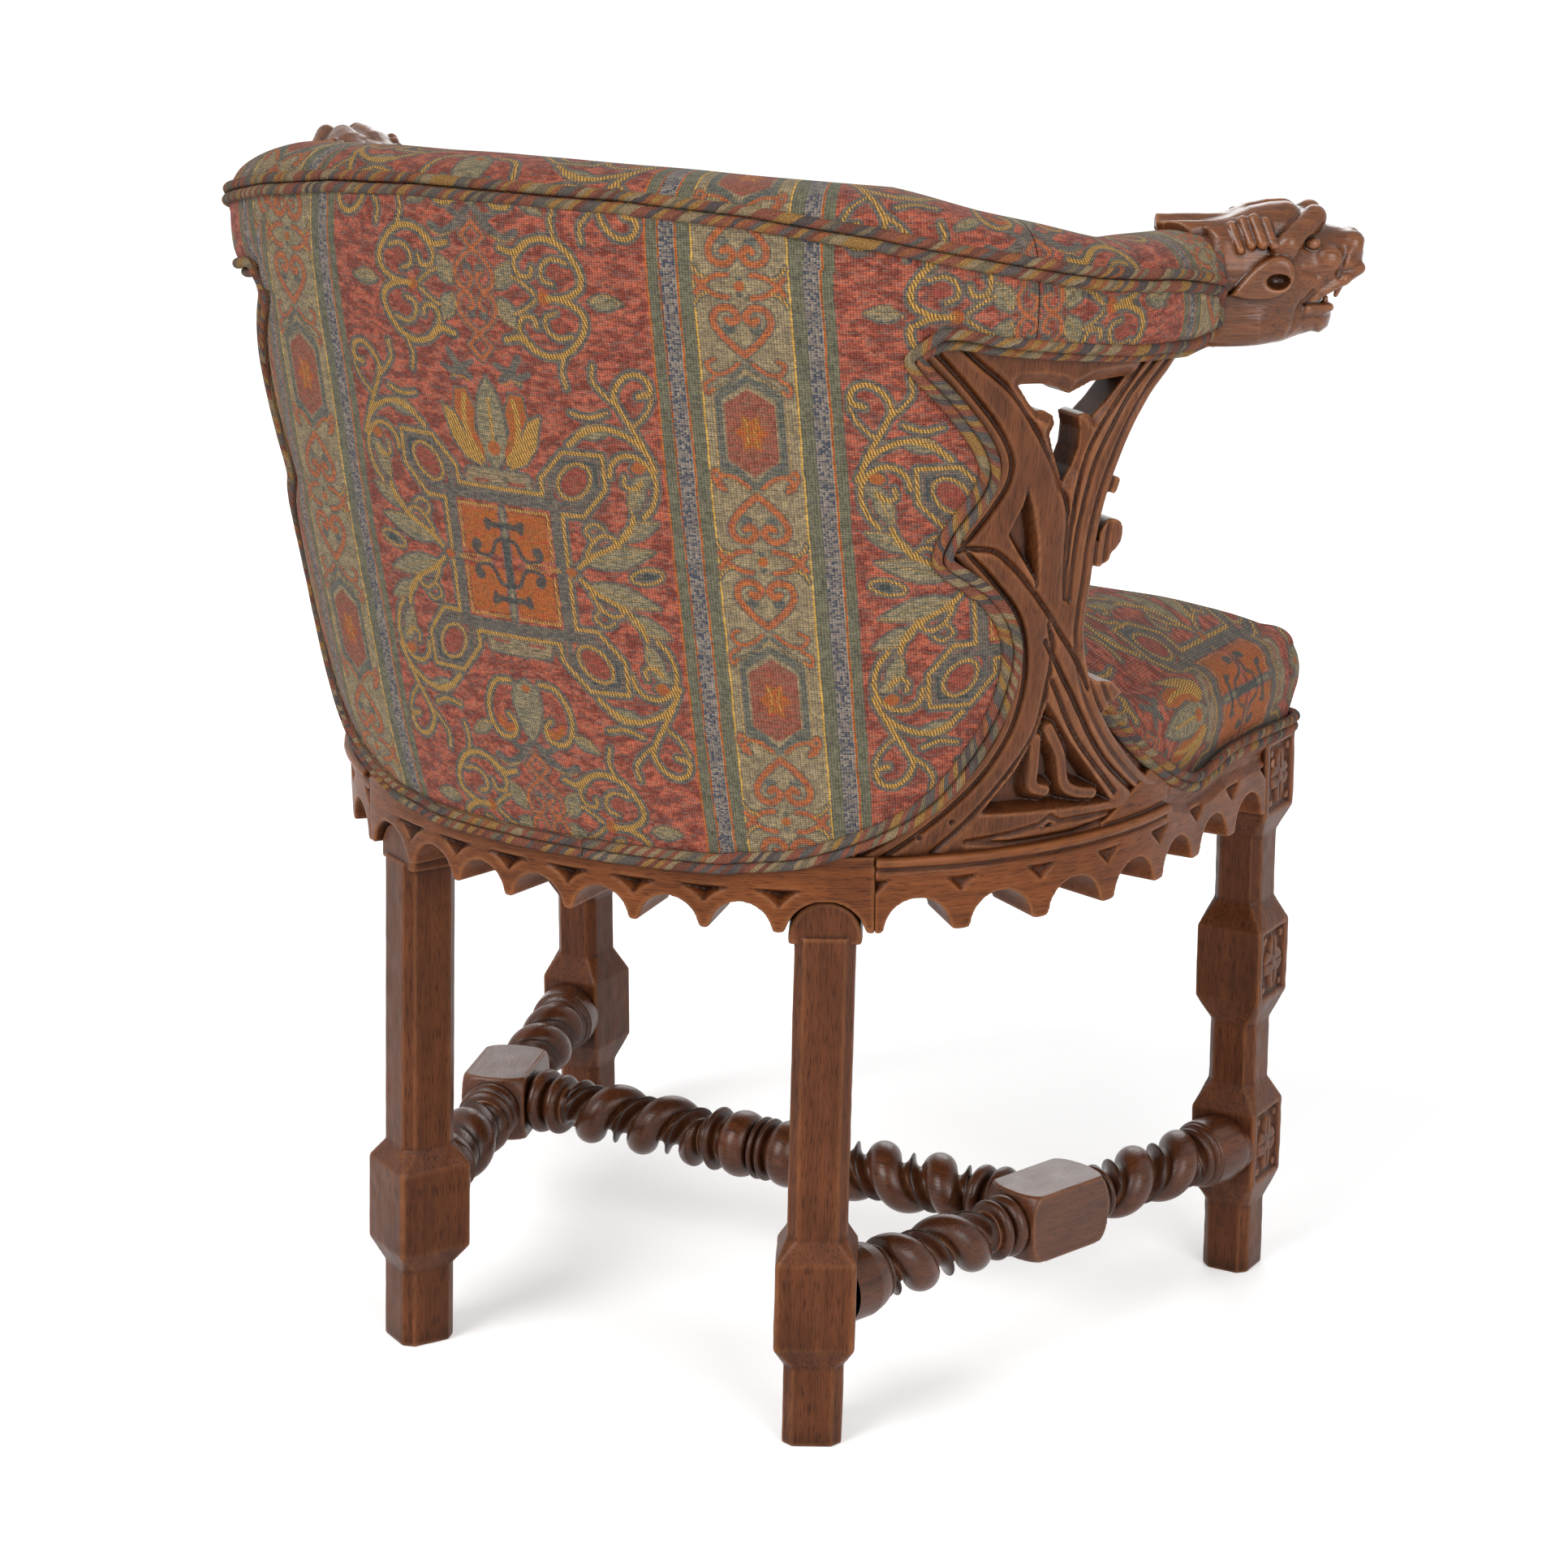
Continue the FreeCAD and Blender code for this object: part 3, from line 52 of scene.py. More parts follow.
def plan_at(z):
    share = np.maximum(0.0, (np.asarray(z, float) - RAIL_TOP) / RIM_RISE)
    width, corner, angle, rear = (low + (high - low) * share for low, high in zip(RAIL, RIM))
    angle = np.radians(angle)
    small = width - corner
    large = small + corner / np.sin(angle)
    rear_c = rear - large
    return small, large, angle, corner, rear_c, rear_c + (large - small) * np.cos(angle)


def shell(arc, z, out=0.0):
    """Point of the flaring back at an arc length from the rear middle, towards the sitter's right."""
    arc, z, out = np.broadcast_arrays(np.asarray(arc, float), np.asarray(z, float), np.asarray(out, float))
    small, large, angle, corner, rear_c, corner_c = plan_at(z)
    run = np.abs(arc)
    rear_run = large * angle
    side_run = rear_run + small * (math.pi / 2 - angle)
    turn = np.where(run < rear_run, run / large, angle + (np.minimum(run, side_run) - rear_run) / small)
    rear = run < rear_run
    x = np.where(rear, (large + out) * np.sin(turn), corner + (small + out) * np.sin(turn))
    y = np.where(rear, rear_c + (large + out) * np.cos(turn), corner_c + (small + out) * np.cos(turn))
    y = y - np.maximum(0.0, run - side_run)
    return np.stack([-np.sign(arc) * x, y, z], -1)


def arc_of_angle(degrees, z):
    small, large, angle, _, _, _ = plan_at(z)
    turn = np.radians(np.abs(degrees))
    run = np.where(turn < angle, turn * large, angle * large + (turn - angle) * small)
    return np.sign(degrees) * run


# Panel plane: u runs forward along the side, from the rail's point at sixty degrees
PANEL_TURN = math.radians(60)
PANEL_ALONG = np.array([-math.cos(PANEL_TURN), -math.sin(PANEL_TURN)])
PANEL_OUT = np.array([-math.sin(PANEL_TURN), math.cos(PANEL_TURN)])
PANEL_BASE = shell(arc_of_angle(60.0, RAIL_TOP), RAIL_TOP)[:2]


def panel_point(u, z, inset):
    """Point of the side panel at a place in its plane and a depth behind the shell."""
    u, z, inset = np.broadcast_arrays(np.asarray(u, float), np.asarray(z, float), np.asarray(inset, float))
    small, _, _, corner, _, corner_c = plan_at(z)
    rel_x = PANEL_BASE[0] + corner
    rel_y = PANEL_BASE[1] - corner_c
    across = rel_x * PANEL_ALONG[0] + rel_y * PANEL_ALONG[1] + u
    depth = rel_x * PANEL_OUT[0] + rel_y * PANEL_OUT[1]
    push = -depth + np.sqrt(np.maximum((small - inset) ** 2 - across ** 2, 1.0))
    x = PANEL_BASE[0] + u * PANEL_ALONG[0] + push * PANEL_OUT[0]
    y = PANEL_BASE[1] + u * PANEL_ALONG[1] + push * PANEL_OUT[1]
    return np.stack([x, y, z], -1)


# Meshes

def new_object(name, verts, faces, material, attributes=None):
    verts = np.asarray(verts, float) * MM
    faces = np.asarray(faces, np.int32)
    mesh = bpy.data.meshes.new(name)
    mesh.vertices.add(len(verts))
    mesh.vertices.foreach_set("co", verts.astype(np.float32).ravel())
    mesh.loops.add(faces.size)
    mesh.loops.foreach_set("vertex_index", faces.ravel())
    mesh.polygons.add(len(faces))
    mesh.polygons.foreach_set("loop_start", np.arange(len(faces), dtype=np.int32) * faces.shape[1])
    mesh.update(calc_edges=True)
    mesh.polygons.foreach_set("use_smooth", np.ones(len(faces), bool))
    for key, values in (attributes or {}).items():
        kind, field = ("FLOAT_COLOR", "color") if values.shape[1] == 4 else ("FLOAT_VECTOR", "vector")
        layer = mesh.attributes.new(key, kind, "POINT")
        layer.data.foreach_set(field, values.astype(np.float32).ravel())
    mesh.materials.append(material)
    item = bpy.data.objects.new(name, mesh)
    bpy.context.collection.objects.link(item)
    return item


def place(item, nodes, slot):
    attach(item, "root")
    if nodes:
        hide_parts(*nodes)
    return item


def grid_faces(rows, columns, close_rows=False, close_columns=False):
    i = np.arange(rows if close_rows else rows - 1)
    j = np.arange(columns if close_columns else columns - 1)
    i, j = np.meshgrid(i, j, indexing="ij")
    a = i * columns + j
    b = i * columns + (j + 1) % columns
    c = ((i + 1) % rows) * columns + (j + 1) % columns
    d = ((i + 1) % rows) * columns + j
    return np.stack([a, b, c, d], -1).reshape(-1, 4)


def kept_part(faces, inside):
    """Faces whose corners all lie inside, renumbered, and the vertices that they use."""
    faces = faces[inside.ravel()[faces].all(1)]
    used = np.unique(faces)
    renumber = np.full(inside.size, -1)
    renumber[used] = np.arange(len(used))
    return renumber[faces], used


def join(parts):
    """Vertices, faces and attributes of several meshes as one."""
    verts, faces, extras, start = [], [], {}, 0
    for part_verts, part_faces, part_extras in parts:
        verts.append(part_verts)
        faces.append(part_faces + start)
        for key, values in part_extras.items():
            extras.setdefault(key, []).append(values)
        start += len(part_verts)
    return np.concatenate(verts), np.concatenate(faces), {k: np.concatenate(v) for k, v in extras.items()}


CORNERS = [(i, j, k) for i in (0, 1) for j in (0, 1) for k in (0, 1)]


def surface_nets(field, origin, step):
    """Quads on the zero level of a sampled solid, negative inside."""
    inside = field < 0
    nx, ny, nz = field.shape
    count = np.zeros((nx - 1, ny - 1, nz - 1), np.int8)
    for i, j, k in CORNERS:
        count += inside[i:nx - 1 + i, j:ny - 1 + j, k:nz - 1 + k]
    active = (count > 0) & (count < 8)
    index = np.full(active.shape, -1, np.int32)
    at = np.argwhere(active)
    index[active] = np.arange(len(at))
    values = {c: field[at[:, 0] + c[0], at[:, 1] + c[1], at[:, 2] + c[2]] for c in CORNERS}
    total = np.zeros((len(at), 3))
    number = np.zeros(len(at))
    for corner in CORNERS:
        for axis in range(3):
            if corner[axis]:
                continue
            other = tuple(1 if n == axis else c for n, c in enumerate(corner))
            low, high = values[corner], values[other]
            cross = (low < 0) != (high < 0)
            share = low[cross] / (low[cross] - high[cross])
            total[cross] += np.array(corner, float)
            total[cross, axis] += share
            number += cross
    verts = np.asarray(origin) + np.asarray(step) * (at + total / number[:, None])
    quads = []
    for axis in range(3):
        one, two = (axis + 1) % 3, (axis + 2) % 3
        low = [slice(1, -1)] * 3
        low[axis] = slice(0, -1)
        high = list(low)
        high[axis] = slice(1, None)
        start, end = inside[tuple(low)], inside[tuple(high)]
        found = np.argwhere(start != end)
        filled = start[tuple(found.T)]
        base = found + 1
        base[:, axis] -= 1
        ring = []
        for a, b in ((-1, -1), (0, -1), (0, 0), (-1, 0)):
            cell = base.copy()
            cell[:, one] += a
            cell[:, two] += b
            ring.append(index[tuple(cell.T)])
        quad = np.stack(ring, -1)
        quad[~filled] = quad[~filled][:, ::-1]
        quads.append(quad)
    return verts, np.concatenate(quads)


def relax(verts, quads, rounds=1, amount=0.5):
    """Evens out the small steps of a sampled surface."""
    edges = np.concatenate([quads[:, [0, 1]], quads[:, [1, 2]], quads[:, [2, 3]], quads[:, [3, 0]]])
    for _ in range(rounds):
        total = np.zeros_like(verts)
        number = np.zeros(len(verts))
        np.add.at(total, edges[:, 0], verts[edges[:, 1]])
        np.add.at(number, edges[:, 0], 1)
        verts = verts + amount * (total / np.maximum(number, 1)[:, None] - verts)
    return verts


def axes(low, high, step):
    return [np.arange(a - 2 * step, b + 2.5 * step, step) for a, b in zip(low, high)]


def noise(points, scale, seed):
    """Smooth random values from -1 to 1, the same in every run."""
    p = np.asarray(points, float) / scale + seed * 17.31
    base = np.floor(p)
    part = p - base
    part = part * part * (3 - 2 * part)
    base = base.astype(np.int64)
    total = np.zeros(p.shape[:-1])
    corners = CORNERS if p.shape[-1] == 3 else [(i, j) for i in (0, 1) for j in (0, 1)]
    for corner in corners:
        key = np.zeros(p.shape[:-1], np.int64)
        weight = np.ones(p.shape[:-1])
        for n, c in enumerate(corner):
            key = key * 374761393 + (base[..., n] + c) * 668265263 + seed * 1013
            weight = weight * (part[..., n] if c else 1 - part[..., n])
        key = (key ^ (key >> 13)) * 1274126177
        key = (key ^ (key >> 16)) & 0xFFFF
        total += weight * (key / 32767.5 - 1)
    return total


# Flat shapes as distances

def curve(points, steps=10):
    """Smooth line through the points."""
    p = np.asarray(points, float)
    ends = np.vstack([2 * p[0] - p[1], p, 2 * p[-1] - p[-2]])
    t = np.linspace(0, 1, steps, endpoint=False)[:, None]
    rows = []
    for a, b, c, d in zip(ends, ends[1:], ends[2:], ends[3:]):
        square = (2 * a - 5 * b + 4 * c - d) * t ** 2
        cube = (3 * b - a - 3 * c + d) * t ** 3
        rows.append(0.5 * (2 * b + (c - a) * t + square + cube))
    return np.vstack(rows + [p[-1:]])


def run_of(line):
    """Length along a line of points, at each point."""
    return np.concatenate([[0], np.cumsum(np.linalg.norm(np.diff(line, axis=0), axis=1))])


def softened(ring):
    """Closed ring of points, each drawn to its neighbours."""
    return (np.roll(ring, 1, 0) + 2 * ring + np.roll(ring, -1, 0)) / 4


def to_line(x, y, line):
    """Distance from every place to a line of points."""
    best = np.full(x.shape, 1e9)
    for (ax, ay), (bx, by) in zip(line, line[1:]):
        dx, dy = bx - ax, by - ay
        size = dx * dx + dy * dy + 1e-12
        t = np.clip(((x - ax) * dx + (y - ay) * dy) / size, 0, 1)
        best = np.minimum(best, (x - ax - t * dx) ** 2 + (y - ay - t * dy) ** 2)
    return np.sqrt(best)


def to_shape(x, y, ring):
    """Signed distance to a closed outline, negative inside."""
    ring = np.asarray(ring, float)
    closed = np.vstack([ring, ring[:1]])
    inside = np.zeros(x.shape, bool)
    for (ax, ay), (bx, by) in zip(closed, closed[1:]):
        span = (ay > y) != (by > y)
        inside ^= span & (x < (bx - ax) * (y - ay) / (by - ay + 1e-12) + ax)
    gap = to_line(x, y, closed)
    return np.where(inside, -gap, gap)


def smooth_min(a, b, k):
    h = np.clip(0.5 + 0.5 * (b - a) / k, 0, 1)
    return b + (a - b) * h - k * h * (1 - h)


def smooth_max(a, b, k):
    return -smooth_min(-a, -b, k)


# Materials

def linear(r, g, b):
    """Linear colour of one written in sRGB."""
    parts = [c / 255 for c in (r, g, b)]
    return tuple(c / 12.92 if c <= 0.04 else ((c + 0.055) / 1.055) ** 2.4 for c in parts) + (1.0,)


class Shader:
    """Short way to write a node material."""

    def __init__(self, name):
        self.material = bpy.data.materials.new(name)
        self.material.use_nodes = True
        self.tree = self.material.node_tree
        self.surface = self.tree.nodes["Principled BSDF"]

    def node(self, kind, **settings):
        item = self.tree.nodes.new(kind)
        for key, value in settings.items():
            setattr(item, key, value)
        return item

    def feed(self, socket, value):
        if isinstance(value, bpy.types.NodeSocket):
            self.tree.links.new(value, socket)
        else:
            socket.default_value = value

    def math(self, operation, a, b=0.0, c=None, clamp=False):
        item = self.node("ShaderNodeMath", operation=operation, use_clamp=clamp)
        self.feed(item.inputs[0], a)
        self.feed(item.inputs[1], b)
        if c is not None:
            self.feed(item.inputs[2], c)
        return item.outputs[0]

    def mix(self, factor, a, b, blend="MIX"):
        item = self.node("ShaderNodeMix", data_type="RGBA", blend_type=blend)
        self.feed(item.inputs[0], factor)
        self.feed(item.inputs[6], a)
        self.feed(item.inputs[7], b)
        return item.outputs[2]

    def noise(self, vector, scale, detail=3.0, rough=0.5):
        item = self.node("ShaderNodeTexNoise")
        self.feed(item.inputs["Vector"], vector)
        item.inputs["Scale"].default_value = scale
        item.inputs["Detail"].default_value = detail
        item.inputs["Roughness"].default_value = rough
        return item.outputs["Fac"]

    def ramp(self, value, stops, how="LINEAR"):
        item = self.node("ShaderNodeValToRGB")
        item.color_ramp.interpolation = how
        row = item.color_ramp.elements
        while len(row) < len(stops):
            row.new(1.0)
        for element, (at, colour) in zip(row, stops):
            element.position = at
            element.color = colour
        self.feed(item.inputs[0], value)
        return item.outputs[0]

    def stretch(self, vector, scale):
        item = self.node("ShaderNodeVectorMath", operation="MULTIPLY")
        self.feed(item.inputs[0], vector)
        item.inputs[1].default_value = scale
        return item.outputs[0]

    def apart(self, vector):
        item = self.node("ShaderNodeSeparateXYZ")
        self.feed(item.inputs[0], vector)
        return item.outputs

    def cells(self, vector, size):
        """Random value for each cell of a grid."""
        snap = self.node("ShaderNodeVectorMath", operation="SNAP")
        self.feed(snap.inputs[0], vector)
        snap.inputs[1].default_value = size
        chance = self.node("ShaderNodeTexWhiteNoise", noise_dimensions="3D")
        self.feed(chance.inputs["Vector"], snap.outputs[0])
        return chance.outputs["Value"]

    def wave(self, value, pitch):
        return self.math("SINE", self.math("MULTIPLY", value, 2 * math.pi / pitch))

    def settings(self, values):
        for key, value in values.items():
            self.surface.inputs[key].default_value = value

    def bump(self, height, strength, distance):
        item = self.node("ShaderNodeBump")
        item.inputs["Strength"].default_value = strength
        item.inputs["Distance"].default_value = distance
        self.feed(item.inputs["Height"], height)
        return item.outputs[0]


def oak(name, dark, mid, light, rough=0.36, wear_and_highlight=0.5, attribute="grain", gloss=0.16):
    """Old polished oak: long pores and streaks along the grain, painted shade in the hollows, and convex
    edges lightened for rubbed wear and as painted highlight.
    """
    s = Shader(name)
    if attribute:
        grain = s.node("ShaderNodeAttribute", attribute_name=attribute).outputs["Vector"]
    else:
        grain = s.node("ShaderNodeTexCoord").outputs["Object"]
    streak = s.noise(s.stretch(grain, (0.05, 1, 1)), 210, 5, 0.6)
    pores = s.noise(s.stretch(grain, (0.09, 1, 1)), 1000, 2, 0.5)
    cloud = s.noise(s.stretch(grain, (0.45, 1, 1)), 38, 4, 0.6)
    tone = s.ramp(streak, [(0.22, dark), (0.5, mid), (0.8, light)])
    tone = s.mix(0.4, tone, mid)
    mottle = s.ramp(cloud, [
        (0.3, (0.6, 0.56, 0.54, 1)), (0.5, (0.92, 0.91, 0.9, 1)), (0.72, (1.18, 1.14, 1.1, 1)),
    ])
    tone = s.mix(0.85, tone, mottle, "MULTIPLY")
    pore = s.ramp(pores, [(0.36, (0.3, 0.26, 0.23, 1)), (0.47, (1, 1, 1, 1))])
    tone = s.mix(0.7, tone, pore, "MULTIPLY")
    edge = s.node("ShaderNodeNewGeometry").outputs["Pointiness"]
    # Painted shade: darker where the surface is hollow, read from the mesh's pointiness
    hollow = s.ramp(edge, [(0.44, (0.13, 0.1, 0.08, 1)), (0.499, (1, 1, 1, 1))])
    tone = s.mix(0.9, tone, hollow, "MULTIPLY")
    # Painted shade in recesses and between close parts, from ambient occlusion
    near = s.node("ShaderNodeAmbientOcclusion", samples=6)
    near.inputs["Distance"].default_value = 0.028
    cavity_shade = s.ramp(near.outputs["AO"], [(0.3, (0.12, 0.08, 0.06, 1)), (0.84, (1, 1, 1, 1))])
    tone = s.mix(0.9, tone, cavity_shade, "MULTIPLY")
    # Convex edges made lighter: partly rubbed wear, partly a painted highlight along the ridges
    rub_and_highlight = s.ramp(edge, [(0.503, (0, 0, 0, 1)), (0.545, (1, 1, 1, 1))])
    rub_and_highlight = s.math("MULTIPLY", rub_and_highlight, s.math("MULTIPLY", s.noise(grain, 60, 3, 0.6), wear_and_highlight))
    tone = s.mix(rub_and_highlight, tone, linear(172, 112, 70))
    s.feed(s.surface.inputs["Base Color"], tone)
    shine = s.math("ADD", s.math("MULTIPLY", s.noise(grain, 45, 4, 0.6), 0.24), rough - 0.12)
    s.feed(s.surface.inputs["Roughness"], shine)
    s.settings({"Specular IOR Level": gloss})
    height = s.math("ADD", s.math("MULTIPLY", pores, 0.6), s.math("MULTIPLY", streak, 0.5))
    s.feed(s.surface.inputs["Normal"], s.bump(height, 0.42, 0.0007))
    return s.material


# Dark, middle and light tone of each piece's oak, roughness, edge wear with painted highlight, and shine
OAK_LEG = oak("oak_dark", linear(52, 27, 15), linear(93, 51, 28), linear(112, 65, 37), 0.38, 0.6)
OAK_TURN = oak("oak_turned", linear(48, 25, 13), linear(90, 49, 27), linear(110, 63, 36), 0.3, 0.5,
               gloss=0.34)
OAK_RAIL = oak("oak_warm", linear(62, 32, 15), linear(112, 61, 29), linear(136, 79, 41), 0.4, 0.6)
OAK_PANEL = oak("oak_panel", linear(54, 28, 14), linear(101, 56, 29), linear(128, 75, 42), 0.34, 0.85,
                gloss=0.2)
OAK_HEAD = oak("oak_head", linear(52, 26, 12), linear(106, 60, 30), linear(138, 81, 44), 0.26, 0.8,
               gloss=0.38)
FRAME_WOOD = oak("frame_wood", linear(96, 70, 46), linear(140, 108, 74), linear(170, 136, 98), 0.6, 0.2, None)

CORAL = linear(178, 96, 73)
SAGE = linear(154, 136, 103)
SLATE = linear(78, 82, 80)
INK = linear(58, 64, 66)
GREEN = linear(112, 109, 87)
FLECK = linear(148, 136, 124)
GOLD = linear(208, 162, 78)
ORANGE = linear(184, 99, 43)
RUST = linear(184, 103, 52)
RED = linear(144, 64, 52)

# Stripes of one width of cloth, in millimetres from the left edge of the coral panel
REPEAT = 350.5
RISE = 350.0
PANEL_HALF = 118.5
CORAL_END = 236.4
STRIPES = [
    (0.0, CORAL), (CORAL_END, ORANGE), (237.6, GREEN), (244.4, ORANGE), (245.4, FLECK), (255.6, ORANGE),
    (256.6, GREEN), (264.4, GOLD), (265.8, SAGE), (322.2, GOLD), (323.6, GREEN), (331.4, RED), (332.6, FLECK),
    (341.6, ORANGE), (342.6, GREEN), (349.3, RED),
]
# Middle and half width of the two flecked stripes
FLECKED = ((250.5, 5.1), (337.1, 4.5))
# Threads of the cover and stitches of its gold, in metres
WARP_PITCH = 0.0018
WEFT_PITCH = 0.0015
STITCH_PITCH = 0.0021


def cover_cloth(name):
    """Woven cover: striped ground, figures from the mesh's own distances, and the grid of the threads with
    painted shade between them.
    """
    s = Shader(name)
    cloth = s.node("ShaderNodeAttribute", attribute_name="cloth").outputs["Vector"]
    u, v, _ = s.apart(cloth)
    wobble = s.math("MULTIPLY", s.math("SUBTRACT", s.noise(cloth, 40, 4, 0.65), 0.5), 0.0028)
    across = s.math("ADD", s.math("ADD", u, wobble), (PANEL_HALF + 20 * REPEAT) * MM)
    across = s.math("FRACT", s.math("DIVIDE", across, REPEAT * MM))
    ground = s.ramp(across, [(place / REPEAT, colour) for place, colour in STRIPES], "CONSTANT")
    # Dark blotches with edges torn along the weft
    weft_noise = s.noise(s.stretch(cloth, (0.14, 1, 1)), 800, 2, 0.6)
    short = s.noise(s.stretch(cloth, (0.4, 1, 1)), 420, 2, 0.5)
    patch = s.noise(s.stretch(cloth, (0.5, 1, 1)), 150, 3, 0.55)
    amount = s.math("ADD", s.math("MULTIPLY", weft_noise, 0.34), s.math("MULTIPLY", short, 0.3))
    amount = s.math("ADD", amount, patch)
    blotch = s.ramp(amount, [(0.75, (0, 0, 0, 1)), (0.88, (1, 1, 1, 1))])
    coral_part = s.math("LESS_THAN", across, CORAL_END / REPEAT)
    strength = s.math("MULTIPLY_ADD", coral_part, 0.5, 0.3)
    shade = s.mix(1.0, ground, linear(160, 152, 172), "MULTIPLY")
    tone = s.mix(s.math("MULTIPLY", blotch, strength), ground, shade)
    fine = s.ramp(weft_noise, [(0.34, (0.74, 0.72, 0.74, 1)), (0.62, (1.1, 1.1, 1.08, 1))])
    tone = s.mix(s.math("MULTIPLY_ADD", coral_part, 0.6, 0.3), tone, fine, "MULTIPLY")
    # Single dark and pale threads of the flecked stripes
    random = s.cells(cloth, (WARP_PITCH, 0.0012, 1.0))
    flecked = [s.math("COMPARE", across, middle / REPEAT, half / REPEAT) for middle, half in FLECKED]
    in_fleck = s.math("MAXIMUM", *flecked)
    tone = s.mix(s.math("MULTIPLY", in_fleck, s.math("GREATER_THAN", random, 0.66)), tone, linear(70, 72, 82))
    streaks = s.noise(s.stretch(cloth, (1, 0.06, 1)), 1000, 2, 0.6)
    streaks = s.ramp(streaks, [(0.3, (0.76, 0.76, 0.77, 1)), (0.6, (1.08, 1.08, 1.06, 1))])
    tone = s.mix(s.math("SUBTRACT", 1.0, s.math("MULTIPLY", coral_part, 0.6)), tone, streaks, "MULTIPLY")
    first = s.node("ShaderNodeAttribute", attribute_name="motif_a")
    second = s.node("ShaderNodeAttribute", attribute_name="motif_b")
    split_a = s.node("ShaderNodeSeparateColor")
    split_b = s.node("ShaderNodeSeparateColor")
    s.feed(split_a.inputs[0], first.outputs["Color"])
    s.feed(split_b.inputs[0], second.outputs["Color"])
    torn = s.noise(s.stretch(cloth, (0.5, 1, 1)), 950, 2, 0.5)
    rag = s.math("MULTIPLY", s.math("SUBTRACT", torn, 0.5), 2.4)

    def mask(distance, soft=-1.1):
        return s.math("MULTIPLY_ADD", s.math("ADD", distance, rag), soft, 0.5, clamp=True)

    # Thread by thread a figure's colour gives way to a second one
    layers = (
        (split_a.outputs[0], SLATE, linear(112, 106, 90), 0.92),
        (split_b.outputs[0], SAGE, linear(102, 100, 82), 0.88),
        (split_b.outputs[2], RED, linear(128, 82, 66), 0.84),
        (split_b.outputs[1], ORANGE, linear(150, 96, 50), 0.92),
        (split_a.outputs[2], INK, linear(84, 84, 76), 0.92),
        (split_a.outputs[1], RUST, linear(148, 84, 62), 0.9),
    )
    speckle = s.cells(cloth, (2 * WARP_PITCH, WEFT_PITCH / 2, 1.0))
    grey = s.math("MULTIPLY", s.math("GREATER_THAN", speckle, 0.74), 0.42)
    tone = s.mix(grey, tone, linear(104, 98, 90))
    swap = s.ramp(weft_noise, [(0.4, (0, 0, 0, 1)), (0.62, (1, 1, 1, 1))])
    mixed = s.math("GREATER_THAN", random, 0.6)
    for distance, colour, other, cover in layers:
        if colour is ORANGE:
            colour = s.mix(mixed, ORANGE, linear(156, 68, 42))
        tone = s.mix(s.math("MULTIPLY", mask(distance), cover), tone, s.mix(swap, colour, other))
    # Gold thread laid in short slanting stitches
    slant = s.math("ADD", u, s.math("MULTIPLY", v, 0.38))
    slant = s.math("ADD", slant, s.math("MULTIPLY", s.noise(cloth, 120, 2), 0.0022))
    stitch = s.math("MULTIPLY_ADD", s.wave(slant, STITCH_PITCH), 0.5, 0.5)
    thread_gold = s.mix(s.math("MULTIPLY", random, 0.55), GOLD, linear(178, 124, 62))
    between = s.ramp(stitch, [(0.15, (1, 1, 1, 1)), (0.6, (0, 0, 0, 1))])
    thread_gold = s.mix(between, thread_gold, linear(106, 80, 50))
    gold_mask = mask(s.math("ADD", first.outputs["Alpha"], 0.15))
    tone = s.mix(s.math("MULTIPLY", gold_mask, 0.95), tone, thread_gold)
    # Grid of the weave painted as shade between the threads, and the uneven tone of single threads
    warp = s.wave(u, WARP_PITCH)
    weft = s.wave(v, WEFT_PITCH)
    ribs = s.math("ADD", s.math("MULTIPLY", warp, 0.55), s.math("MULTIPLY", weft, 0.45))
    # Painted shade in the gaps between warp and weft threads
    grid = s.ramp(s.math("MULTIPLY_ADD", ribs, 0.5, 0.5), [(0.12, (0.4, 0.4, 0.46, 1)), (0.55, (1, 1, 1, 1))])
    tone = s.mix(0.82, tone, grid, "MULTIPLY")
    uneven = s.ramp(random, [(0.0, (0.64, 0.64, 0.66, 1)), (0.5, (1, 1, 1, 1)), (1.0, (1.28, 1.26, 1.22, 1))])
    tone = s.mix(0.85, tone, uneven, "MULTIPLY")
    s.feed(s.surface.inputs["Base Color"], tone)
    s.settings({"Roughness": 0.9, "Specular IOR Level": 0.14, "Sheen Weight": 0.06, "Sheen Roughness": 0.5})
    height = s.math("ADD", ribs, s.math("MULTIPLY", weft_noise, 1.4))
    s.feed(s.surface.inputs["Normal"], s.bump(height, 0.55, 0.0006))
    return s.material


CLOTH = cover_cloth("woven_cover")


